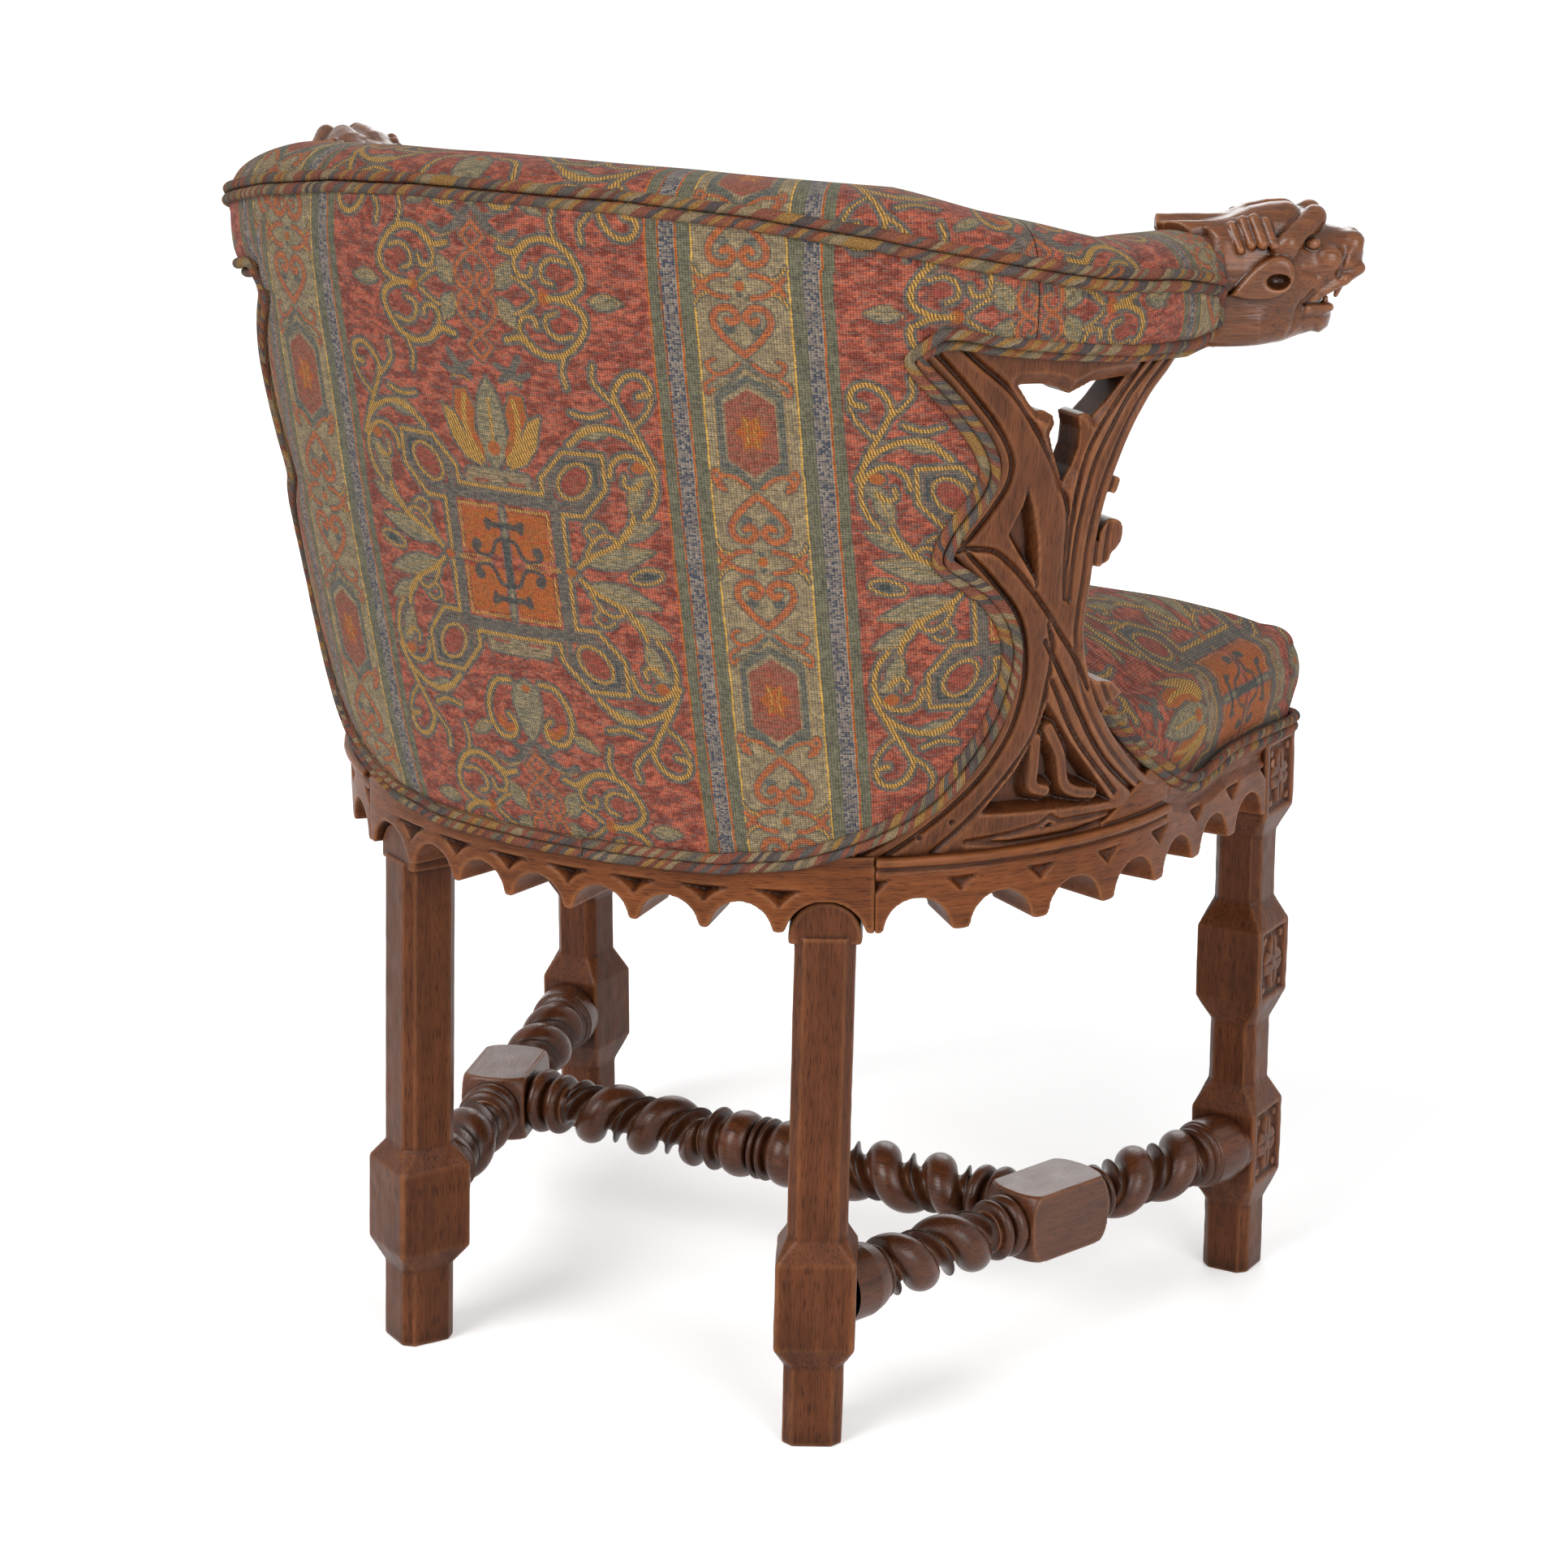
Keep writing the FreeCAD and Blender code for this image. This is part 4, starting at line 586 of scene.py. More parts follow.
def welt_cloth():
    """Piping cut on the bias from the same cloth: slanting dashes of its colours."""
    s = Shader("bias_piping")
    cloth = s.node("ShaderNodeAttribute", attribute_name="cloth").outputs["Vector"]
    run, turn, _ = s.apart(cloth)
    slant = s.math("ADD", run, turn)
    uneven = s.math("MULTIPLY", s.noise(cloth, 60, 2), 2.0)
    cell = s.math("FLOOR", s.math("ADD", s.math("MULTIPLY", slant, 230.0), uneven))
    band = s.node("ShaderNodeTexWhiteNoise", noise_dimensions="1D")
    s.feed(band.inputs["W"], cell)
    tone = s.ramp(band.outputs["Value"], [
        (0.0, linear(158, 88, 70)), (0.17, linear(96, 98, 98)), (0.33, linear(176, 156, 118)),
        (0.46, linear(124, 68, 58)), (0.58, linear(186, 140, 70)), (0.7, linear(132, 124, 98)),
        (0.82, linear(74, 78, 84)), (0.91, linear(176, 104, 60)),
    ], "CONSTANT")
    tone = s.mix(0.3, tone, linear(134, 104, 84))
    fleck = s.noise(cloth, 700, 3, 0.6)
    tone = s.mix(s.ramp(fleck, [(0.35, (0, 0, 0, 1)), (0.7, (0.7, 0.7, 0.7, 1))]), tone,
                 s.mix(1.0, tone, linear(120, 108, 104), "MULTIPLY"))
    thread = s.wave(slant, 0.0019)
    # Painted shade between the slanting threads of the piping
    tone = s.mix(0.75, tone, s.ramp(s.math("MULTIPLY_ADD", thread, 0.5, 0.5),
                                    [(0.05, (0.42, 0.4, 0.4, 1)), (0.6, (1, 1, 1, 1))]), "MULTIPLY")
    s.feed(s.surface.inputs["Base Color"], tone)
    s.settings({"Roughness": 0.86, "Specular IOR Level": 0.18})
    s.feed(s.surface.inputs["Normal"], s.bump(s.math("ADD", thread, fleck), 0.6, 0.0007))
    return s.material


WELT = welt_cloth()


def canvas():
    s = Shader("canvas")
    where = s.node("ShaderNodeTexCoord").outputs["Object"]
    tone = s.mix(s.noise(where, 400, 3), linear(150, 128, 96), linear(112, 92, 66))
    s.feed(s.surface.inputs["Base Color"], tone)
    s.settings({"Roughness": 0.9})
    return s.material


CANVAS = canvas()

# Figures of the cloth, as distances on one repeat
CELL = 0.7
COLUMNS = int(round(REPEAT / CELL))
ROWS = int(round(RISE / CELL))
FAR = 30.0
COLOURS = ("gold", "slate", "ink", "rust", "sage", "orange", "red")
LAYERS = {key: np.full((ROWS, COLUMNS), FAR) for key in COLOURS}


def draw(layer, points, width=None, mirror=(1, 1), grow=0.0, shift=(0, 0)):
    """Adds a stroke of a width, or a filled shape, to a layer, wrapped round the repeat."""
    points = np.asarray(points, float) * np.array(mirror, float) + np.array(shift, float)
    reach = (width or 0) / 2 + 8 + grow
    low = np.floor((points.min(0) - reach) / CELL).astype(int)
    high = np.ceil((points.max(0) + reach) / CELL).astype(int)
    columns = np.arange(low[0], high[0] + 1)
    rows = np.arange(low[1], high[1] + 1)
    x, y = np.meshgrid(columns * CELL, rows * CELL)
    if width is None:
        gap = to_shape(x, y, points) - grow
    else:
        gap = to_line(x, y, points) - width / 2 - grow
    where = np.ix_(rows % ROWS, columns % COLUMNS)
    target = LAYERS[layer]
    target[where] = np.minimum(target[where], gap)


def edged(layer, shape, edge, mirror=(1, 1), width=None, shift=(0, 0)):
    """Shape, or stroke of a width, with a slate edge."""
    draw(layer, shape, width, mirror, 0.0, shift)
    draw("slate", shape, width, mirror, edge, shift)


BOTH = ((1, 1), (-1, 1))
FOUR = ((1, 1), (-1, 1), (1, -1), (-1, -1))


def at(points, x, y, turn=0.0):
    c, s = math.cos(math.radians(turn)), math.sin(math.radians(turn))
    p = np.asarray(points, float)
    return np.stack([x + p[:, 0] * c - p[:, 1] * s, y + p[:, 0] * s + p[:, 1] * c], -1)


def lens(length, half, bulge=0.5):
    """Leaf outline from the origin along +x."""
    t = np.linspace(0, 1, 14)
    w = half * np.sin(math.pi * t ** (math.log(0.5) / math.log(bulge)))
    return np.vstack([np.stack([t * length, w], -1), np.stack([t * length, -w], -1)[::-1][1:-1]])


def ellipse(a, b, count=20):
    t = np.linspace(0, 2 * math.pi, count, endpoint=False)
    return np.stack([a * np.cos(t), b * np.sin(t)], -1)


def closed_leaf(edge):
    """Outline of an upright leaf from its right edge."""
    return np.vstack([edge, edge[::-1][1:-1] * [-1, 1]])


def ringed(shape):
    return np.vstack([shape, shape[:1]])


def stroke(points, width=3.4, mirrors=FOUR, layer="gold", outline=2.2, shift=(0, 0), smooth=True):
    """Coloured line with a slate edge on both sides."""
    line = curve(points, 7) if smooth else points
    for m in mirrors:
        edged(layer, line, outline, m, width, shift)


def leaf(layer, x, y, turn, length, half, mirrors=FOUR, rim=1.4, shift=(0, 0), bulge=0.45):
    """Leaf with a gold rim and vein and a slate edge."""
    shape = at(lens(length, half, bulge), x, y, turn)
    vein = at([(length * 0.1, 0), (length * 0.7, 0)], x, y, turn)
    for m in mirrors:
        edged(layer, shape, 1.8, m, None, shift)
        if rim:
            draw("gold", ringed(shape)[:len(shape) // 2 + 1], rim, m, 0.0, shift)
            draw("gold", vein, rim * 0.8, m, 0.0, shift)


def medallion():
    """Strap frame with four eared corners round an orange square."""
    frame_line = [(0, 49.5), (33, 49.5), (33, 60), (51, 79), (78, 79), (78, 57), (61, 38), (46, 38), (46, 4)]
    ear = np.array([(39.5, 46), (39.5, 58), (53, 73), (72, 73), (72, 59), (58, 44.5), (46, 44.5)], float)
    eye = at(ellipse(14, 9.5), 57, 60.5, 45)
    for m in FOUR:
        draw("orange", [(4.5, 4.5), (33, 4.5), (33, 34.5), (4.5, 34.5)], None, m)
        draw("gold", [(4, 36.5), (35, 36.5), (35, 6)], 2.2, m)
        draw("slate", [(0, 43), (40.5, 43), (40.5, 0)], 7.0, m)
        stroke(frame_line, 2.9, (m,), smooth=False)
        draw("slate", ringed(ear), 4.2, m)
        draw("ink", ear[2:5], 2.4, m)
        edged("gold", ringed(eye), 1.5, m, 2.5)
        draw("red", at(ellipse(11.5, 7.2), 57, 60.5, 45), None, m)
        scroll = [(2, 16), (8, 13.5), (11, 7), (15, 3), (22, 3), (27, 7), (25.5, 12), (21.5, 11), (22.5, 8)]
        draw("ink", curve(scroll, 6), 3.0, m)
        draw("ink", curve([(1, 25), (9, 24.5), (14, 27), (13, 22)], 6), 4.0, m)
        draw("ink", at(ellipse(3.6, 3.4), 24, 9.5), None, m)
        draw("gold", curve([(14, 0.5), (26, 2.0), (40, 0.5)], 6), 1.6, m)
        draw("red", [(8, 53.5), (20, 53.5)], 2.6, m)
        draw("sage", [(0, 51.5), (26, 51.5), (24, 61), (0, 62)], None, m)
        draw("slate", [(0, 62), (24, 61.5), (28, 54)], 2.6, m)
    draw("ink", [(0, -14), (0, 14)], 5.0)
    draw("slate", [(0, -36), (0, 36)], 6.5)
    draw("sage", [(0, -35), (0, 35)], 3.0)
    for side in (1, -1):
        draw("orange", at(ellipse(3.6, 3.2), 48 * side, 0))


def palmettes():
    """Flame leaves above the medallion and hooked leaves below it."""
    blade = curve([(0, 62), (9, 74), (10.5, 92), (7, 110), (0, 122)], 6)
    edged("sage", closed_leaf(blade), 2.0)
    draw("gold", [(0, 82), (0, 108)], 2.6)
    draw("orange", at(ellipse(5, 5), 0, 76))
    for m in BOTH:
        flame = [(9, 64), (17, 74), (21, 86), (28, 98), (26, 112), (17, 113), (12, 100), (14, 88), (8, 74)]
        edged("orange", flame, 1.6, m)
        draw("gold", curve([(10, 68), (18, 80), (21, 94), (19, 108)], 6), 4.2, m)
        outer = [(10, 62), (24, 68), (33, 80), (38, 101), (28, 96), (22, 84), (14, 72)]
        edged("gold", outer, 1.6, m)
        draw("rust", curve([(13, 65), (24, 76), (32, 92)], 6), 2.2, m)
        draw("slate", curve([(12, 121), (19, 126), (27, 137)], 6), 5.0, m)
        draw("slate", curve([(18, 127), (26, 124), (33, 127)], 6), 4.4, m)
        draw("gold", curve([(14, 119), (21, 121), (27, 120)], 6), 1.6, m)
    drop = curve([(0, -78), (9, -84), (11, -96), (7, -110), (0, -121)], 6)
    edged("sage", closed_leaf(drop), 1.8)
    draw("orange", at(ellipse(3.4, 2.6), 0, -84))
    for m in BOTH:
        hook = [(12, -80), (24, -82), (32, -94), (33, -108), (26, -119), (15, -118), (12, -110), (17, -104)]
        hook = curve(hook, 6)
        edged("gold", hook, 2.0, m, 3.2)
        draw("red", curve([(18, -88), (25, -96), (26, -106)], 6), 5.0, m)
        draw("orange", curve([(25, -108), (20, -114), (14, -112)], 6), 5.0, m)
        draw("slate", curve([(4, -123), (12, -132), (23, -138), (32, -134)], 6), 6.0, m)
        draw("gold", curve([(14, -137), (24, -140), (31, -138)], 6), 1.6, m)
    leaf("sage", 33, -112, -28, 20, 3.6, BOTH)


def vines():
    """Scrolls and sprays that fill the panel round the medallion."""
    stroke([(56, 84), (66, 92), (80, 97), (95, 93), (107, 84), (113, 72)], 3.6)
    stroke([(82, 66), (84, 74), (92, 80), (102, 79), (110, 71), (112, 60), (108, 48), (102, 41)], 3.2)
    stroke([(103, 63), (97, 59), (91, 61), (92, 67)], 2.6)
    stroke([(107, 86), (100, 98), (94, 108), (90, 118), (95, 128), (104, 133), (112, 130), (114, 122),
            (106, 119)], 3.4)
    stroke([(92, 112), (84, 118), (77, 127), (78, 137)], 2.6)
    stroke([(84, 107), (72, 103), (60, 105)], 2.8)
    stroke([(100, 98), (110, 108), (115, 118)], 2.4)
    stroke([(54, 4), (62, 11), (72, 16), (83, 22), (91, 31), (95, 41)], 3.4)
    stroke([(60, 13), (66, 22), (74, 27), (81, 24), (78, 19)], 2.6)
    stroke([(66, 22), (61, 29), (68, 34), (74, 31)], 2.2)
    leaf("sage", 60, 7, 14, 48, 6.5)
    leaf("sage", 84, 26, 24, 30, 5.0)
    leaf("sage", 94, 44, 66, 24, 5.0)
    leaf("sage", 62, 92, 10, 26, 4.4)
    leaf("sage", 96, 60, 30, 16, 4.0, rim=0)
    leaf("orange", 96, 72, 10, 12, 4.0, rim=0)
    for m in BOTH:
        drop = at(ellipse(11, 4.6), 100, 2, 12)
        draw("gold", ringed(drop), 2.2, m)
        draw("slate", drop, None, m, 2.4)
        draw("ink", at(ellipse(4.4, 2.4), 101, 2, 12), None, m)


def lyre():
    """Motif half a rise away: four scrolls round a chain of hearts."""
    middle = (0, RISE / 2 + 2)
    stroke([(20, 29), (30, 27), (40, 34), (52, 37), (65, 32), (75, 19), (75, 8), (64, 1), (52, 0)], 3.7,
           shift=middle)
    stroke([(67, 23), (57, 25), (50, 20), (50, 12), (57, 9)], 2.6, shift=middle)
    stroke([(40, 33), (31, 23), (33, 14), (41, 13), (43, 19)], 2.8, shift=middle)
    stroke([(60, 36), (57, 46), (59, 56)], 2.6, shift=middle)
    stroke([(44, 2), (36, 8), (28, 12)], 2.4, shift=middle)
    leaf("sage", 18, 3, 62, 20, 6.0, shift=middle)
    leaf("sage", 80, 0, 0, 22, 4.6, BOTH, shift=middle)
    for m in FOUR:
        draw("orange", at(ellipse(4.5, 3.2), 50, 1), None, m, 0.0, middle)
        draw("slate", at(ellipse(4, 3), 33, 24), None, m, 0.0, middle)
        draw("red", at(ellipse(5.5, 5.5), 59, 17), None, m, 0.0, middle)
        heart = curve([(0, -27), (9, -20), (14, -12), (12, -3), (5, -2), (2, -9), (6, -12)], 6)
        stroke(heart * [1, -1], 2.8, (m,), "rust", 1.2, middle, False)
        diamond = [(0, 27), (8.5, 35), (0, 44)]
        stroke(diamond, 2.8, (m,), "rust", 1.2, middle, False)
        draw("slate", at(ellipse(3.4, 3.0), 4.5, 15), None, m, 0.0, middle)
        draw("slate", curve([(9, 46), (17, 50), (26, 58)], 6), 4.4, m, 0.0, middle)


def narrow_band():
    """Narrow field: hearts in pairs, fern leaves between them and long hexagons with a flower."""
    middle = 175.6
    for lift in (0.0, RISE / 2):
        for y, flip in ((-7.0, 1), (41.0, -1)):
            for side in (1, -1):
                spot = (middle, y + lift)
                m = (side, flip)
                heart = [(0, -19), (11, -9), (17.5, 1), (15, 9), (7, 10.5), (2.5, 5), (6, 1), (9, 3)]
                stroke(heart, 4.2, (m,), "rust", 1.0, spot)
                draw("slate", at(ellipse(4, 3), 8, -3), None, m, 0.0, spot)
                fern = [(7, 17), (14, 18), (21, 22), (27, 29)]
                stroke(fern, 3.2, (m,), "rust", 1.0, spot)
                stroke([(19, 20), (25, 17), (28, 12)], 2.2, (m,), "gold", 1.0, spot)
                stroke([(4, -24), (12, -30), (20, -31), (24, -25), (19, -22)], 2.6, (m,), "rust", 1.0, spot)
                draw("slate", curve([(2, -26), (10, -35), (18, -40)], 6), 3.6, m, 0.0, spot)
            draw("slate", at(ellipse(2.4, 2.0), middle, y + lift + flip * 19))
        spot = (middle, -75.0 + lift)
        draw("orange", at(ellipse(3.2, 3.2), middle, 17 + lift))
        hexagon = np.array([(0, 34), (19, 22), (19, -22), (0, -34), (-19, -22), (-19, 22)], float)
        draw("slate", ringed(hexagon), 4.4, (1, 1), 0.0, spot)
        draw("gold", ringed(hexagon) * 1.16, 1.2, (1, 1), 0.0, spot)
        draw("red", hexagon * 0.82, None, (1, 1), 0.0, spot)
        flower = [(r * math.cos(math.radians(a)), r * 1.25 * math.sin(math.radians(a)))
                  for a, r in zip(range(0, 360, 30), (11, 6.5) * 6)]
        draw("orange", flower, None, (1, 1), 0.0, spot)
        draw("gold", curve([(-4, -9), (-2, 0), (-4, 9)], 6), 1.6, (1, 1), 0.0, spot)
        draw("gold", curve([(4, -9), (2, 0), (4, 9)], 6), 1.6, (1, 1), 0.0, spot)
        for m in FOUR:
            stroke([(20, 34), (26, 30), (25, 24), (21, 27)], 2.4, (m,), "rust", 0.9, spot)


medallion()
palmettes()
vines()
lyre()
narrow_band()


def figure_values(u, v):
    """Distances of the figures at places of the cloth, for the shader."""
    column = (np.asarray(u, float) / CELL) % COLUMNS
    row = (np.asarray(v, float) / CELL) % ROWS
    c0, r0 = np.floor(column).astype(int), np.floor(row).astype(int)
    fc, fr = column - c0, row - r0
    c0, r0 = c0 % COLUMNS, r0 % ROWS
    c1, r1 = (c0 + 1) % COLUMNS, (r0 + 1) % ROWS

    def look(name):
        f = LAYERS[name]
        low = f[r0, c0] * (1 - fc) + f[r0, c1] * fc
        high = f[r1, c0] * (1 - fc) + f[r1, c1] * fc
        return low * (1 - fr) + high * fr

    none = np.full(np.shape(u), FAR)
    return {
        "motif_a": np.stack([look("slate"), look("rust"), look("ink"), look("gold")], -1),
        "motif_b": np.stack([look("sage"), look("orange"), look("red"), none], -1),
        "cloth": np.stack([np.asarray(u) * MM, np.asarray(v) * MM, np.zeros(np.shape(u))], -1),
    }


# Middle of a medallion on the back, as arc length and height; the cloth leans and narrows downwards
MEDALLION = (-20.0, 592.0)
LEAN_AT = np.array([-190.0, -100.0, 0.0, 140.0, 230.0])
LEAN = np.array([11.0, 4.0, -1.5, -6.5, -8.5])
PANEL_WIDTH = np.array([223.0, 231.0, 237.0, 241.0, 242.0])


def cloth_of_back(arc, z):
    v = z - MEDALLION[1]
    spread = 2 * PANEL_HALF / np.interp(v, LEAN_AT, PANEL_WIDTH)
    return (arc - MEDALLION[0] - np.interp(v, LEAN_AT, LEAN)) * spread, v


# Rim line of the back: lower edge of its double piping
RIM_X = np.array([0, 77, 150, 223, 273, 318, 347, 346], float)
RIM_Y = np.array([268, 266, 249, 216, 196, 138, 64, 6], float)
RIM_Z = np.array([824, 823, 818, 807, 795, 778, 766, 757], float)
RIM_RUN = run_of(np.stack([RIM_X, RIM_Y], -1))


def rim_height(arc):
    return np.interp(np.abs(arc), RIM_RUN, RIM_Z)


# Edges of the side panels, in the panel's plane
REAR_EDGE = np.vstack([
    curve([(-124, 400), (-112, 421), (-80, 442), (-58, 471), (-44, 509), (-42, 547), (-60, 581), (-86, 606),
           (-98, 618)], 8),
    curve([(-98, 618), (-86, 636), (-74, 660), (-72, 680), (-84, 705), (-106, 736), (-116, 748)], 8),
])
FRONT_EDGE = curve([
    (104, 753), (82, 724), (57, 702), (42, 680), (31, 654), (25, 632), (22, 608), (22, 587), (21, 551),
    (33, 511), (57, 474), (91, 440), (115, 426), (126, 420),
], 8)
# Cusped edge of the upholstered back: arc length on the shell and height
EDGE = np.vstack([
    curve([(118, 399), (150, 402), (170, 406), (211, 420), (249, 441), (279, 473), (301, 509), (311, 548),
           (299, 582), (267, 610)], 8),
    curve([(267, 610), (276, 627), (298, 656), (299, 680), (281, 711), (259, 738), (258, 748)], 8)[1:],
])


def edge_arc(z):
    """Arc length where the upholstered back ends at a height."""
    return np.interp(z, EDGE[:, 1], EDGE[:, 0])


# Roll along the rim and the arms
ROLL_HALF = 38.0
RING = np.array([-326.0, -43.0])
RING_Z = 758.0
# Share of the way and turn where the roll leaves the round of the back for the arm
ARM_FROM = 0.75
ARM_TURN = math.radians(75)
HEAD_TURN = math.radians(58)
HEAD_DIR = np.array([-math.sin(HEAD_TURN), -math.cos(HEAD_TURN)])


def roll_way(share):
    """Middle of the roll on the sitter's right: 0 at the rear, 1 at the arm's end."""
    share = np.asarray(share, float)
    z = RING_Z + (RIM_TOP - RING_Z) * (1 + np.cos(math.pi * share)) / 2
    small, large, angle, corner, rear_c, corner_c = plan_at(RIM_TOP)
    turn = ARM_TURN * np.minimum(share, ARM_FROM) / ARM_FROM
    rear = turn <= angle
    large, small = large - ROLL_HALF, small - ROLL_HALF
    x = np.where(rear, -large * np.sin(turn), -corner - small * np.sin(turn))
    y = np.where(rear, rear_c + large * np.cos(turn), corner_c + small * np.cos(turn))
    step = np.maximum(0, (share - ARM_FROM) / (1 - ARM_FROM))
    start = np.array([-corner - small * math.sin(ARM_TURN), corner_c + small * math.cos(ARM_TURN)])
    pull = np.linalg.norm(RING - start)
    leave = np.array([-math.cos(ARM_TURN), -math.sin(ARM_TURN)]) * pull
    arrive = HEAD_DIR * pull * 0.8
    bend = [start[n] * (2 * step ** 3 - 3 * step ** 2 + 1) + leave[n] * (step ** 3 - 2 * step ** 2 + step)
            + RING[n] * (3 * step ** 2 - 2 * step ** 3) + arrive[n] * (step ** 3 - step ** 2) for n in (0, 1)]
    x = np.where(share > ARM_FROM, bend[0], x)
    y = np.where(share > ARM_FROM, bend[1], y)
    return np.stack([x, y, z], -1)


WAY_SHARE = np.linspace(0, 1, 600)
WAY_RUN = run_of(roll_way(WAY_SHARE))
# Underside of the arms: arc length on the shell and height
ARM_ARC = np.array([256, 290, 342, 404, 477, 530], float)
ARM_LOW = np.array([742, 745, 738, 730, 722, 722], float)
ARC_OF_RUN = 1.09


def roll_half_height(share):
    return 33 + 3.5 * (1 - np.cos(math.pi * np.abs(share))) / 2


def roll_low(share):
    """Depth of the underside below the roll's middle: the arms are deeper than the rim."""
    share = np.abs(share)
    plain = roll_half_height(share)
    arc = np.interp(share, WAY_SHARE, WAY_RUN) * ARC_OF_RUN
    arm = np.clip((arc - 210) / 45, 0, 1)
    return plain + arm * (np.maximum(roll_way(share)[..., 2] - np.interp(arc, ARM_ARC, ARM_LOW), 10) - plain)


def even_way(count, last=1.0):
    """Shares of the roll at even steps of its length, over both arms, and the signed run."""
    fine = np.linspace(0, last, 600)
    run = run_of(roll_way(fine))
    outer = np.linspace(-run[-1], run[-1], count)
    return np.sign(outer) * np.interp(np.abs(outer), run, fine), outer


def roll_frame(share):
    """Middle, outward and forward directions of the roll for signed shares."""
    size = np.abs(share)
    eps = 1e-3
    a = roll_way(np.clip(size - eps, 0, 1))
    b = roll_way(np.clip(size + eps, 0, 1))
    ahead = b - a
    ahead[:, 2] = 0
    ahead /= np.linalg.norm(ahead, axis=1)[:, None]
    ahead[size < 1e-4] = (-1, 0, 0)
    out = np.stack([ahead[:, 1], -ahead[:, 0], np.zeros(len(ahead))], -1)
    middle = roll_way(size)
    flip = np.where(share < 0, -1.0, 1.0)
    for item in (middle, out, ahead):
        item[:, 0] *= flip
    return middle, out, ahead


def roll_section(share, angle, grow=0.0):
    """Offsets outward and up of the roll's section: full sides, square under the arms, round at the ring."""
    size = np.abs(share)
    c, s = np.cos(angle), np.sin(angle)
    upper = np.interp(size, [0, 0.8, 1], [0.78, 0.78, 1.0])
    lower = np.interp(size, [0, 0.3, 0.45, 0.86, 1], [0.78, 0.78, 0.52, 0.58, 1.0])
    square = np.where(s < 0, lower, upper)
    half = np.where(s < 0, roll_low(share), roll_half_height(share))
    a = (ROLL_HALF + grow) * np.sign(c) * np.abs(c) ** square
    b = (half + grow) * np.sign(s) * np.abs(s) ** square
    return a, b


def roll_piece(name, first, last, count, nodes):
    around = 132
    share, run = even_way(2001)
    pick = (share >= first) & (share <= last)
    even = np.linspace(run[pick][0], run[pick][-1], count)
    share = np.interp(even, run, share)
    angle = np.linspace(0, 2 * math.pi, 1441)
    middle, out, _ = roll_frame(share)
    wide_a, wide_b = roll_section(share[:, None], angle[None, :])
    far = np.concatenate([np.zeros((count, 1)), np.cumsum(np.hypot(np.diff(wide_a), np.diff(wide_b)), 1)], 1)
    a, b, turn = np.zeros((3, count, around))
    for n in range(count):
        even_far = np.linspace(0, far[n, -1], around, endpoint=False)
        a[n] = np.interp(even_far, far[n], wide_a[n])
        b[n] = np.interp(even_far, far[n], wide_b[n])
        turn[n] = np.interp(even_far, far[n], angle)
    dip = noise(np.stack(np.broadcast_arrays(even[:, None], turn * 40, 0 * a), -1), 46, 3) * 1.1
    lift = 1 + (dip / ROLL_HALF)
    a, b = a * lift, b * lift
    steps = np.hypot(np.diff(a, axis=1), np.diff(b, axis=1))
    girth = np.concatenate([np.zeros((count, 1)), np.cumsum(steps, 1)], 1)
    verts = middle[:, None, :] + out[:, None, :] * a[..., None] + np.array([0, 0, 1.0]) * b[..., None]
    level = middle[:, 2][:, None] + np.where(turn <= math.pi * 1.25, girth, girth - girth[:, -1:])
    along = even * (1 + 0.1 * np.abs(share))
    u, v = cloth_of_back(np.broadcast_to(along[:, None], a.shape), level)
    u = u + 8.0
    faces = grid_faces(count, around, close_columns=True)[:, ::-1]
    item = new_object(name, verts.reshape(-1, 3), faces, CLOTH, figure_values(u.ravel(), v.ravel()))
    return place(item, nodes, "fabric")


def tube(line, radius, sides=12, closed=False, phase=0.0):
    """Round cord along a line of points, with its run and turn for the cloth."""
    line = np.asarray(line, float)
    if closed:
        ahead = np.roll(line, -1, 0) - np.roll(line, 1, 0)
    else:
        ahead = np.gradient(line, axis=0)
    ahead /= np.linalg.norm(ahead, axis=1)[:, None]
    side = np.zeros_like(line)
    seed = np.array([0.31, 0.22, 0.93])
    for n, t in enumerate(ahead):
        base = seed if n == 0 else side[n - 1]
        p = base - t * np.dot(base, t)
        side[n] = p / np.linalg.norm(p)
    up = np.cross(ahead, side)
    angle = np.linspace(0, 2 * math.pi, sides, endpoint=False)
    run = run_of(line) + phase
    swell = radius * (1 + 0.05 * noise(np.stack([run, run * 0], -1), 14, 5))
    ring = side[:, None, :] * np.cos(angle)[None, :, None] + up[:, None, :] * np.sin(angle)[None, :, None]
    verts = line[:, None, :] + ring * swell[:, None, None]
    cloth = np.broadcast_arrays(run[:, None] * MM, angle[None, :] * radius * MM, 0 * verts[..., 0])
    cloth = np.stack(cloth, -1)
    faces = grid_faces(len(line), sides, closed, True)
    return verts.reshape(-1, 3), faces, {"cloth": cloth.reshape(-1, 3)}


def even_line(line, step):
    line = np.asarray(line, float)
    run = run_of(line)
    t = np.arange(0, run[-1], step)
    t = np.append(t, run[-1])
    return np.stack([np.interp(t, run, line[:, n]) for n in range(3)], -1)


def mirrored(line):
    return np.asarray(line) * np.array([-1.0, 1, 1])


CORD = 3.5


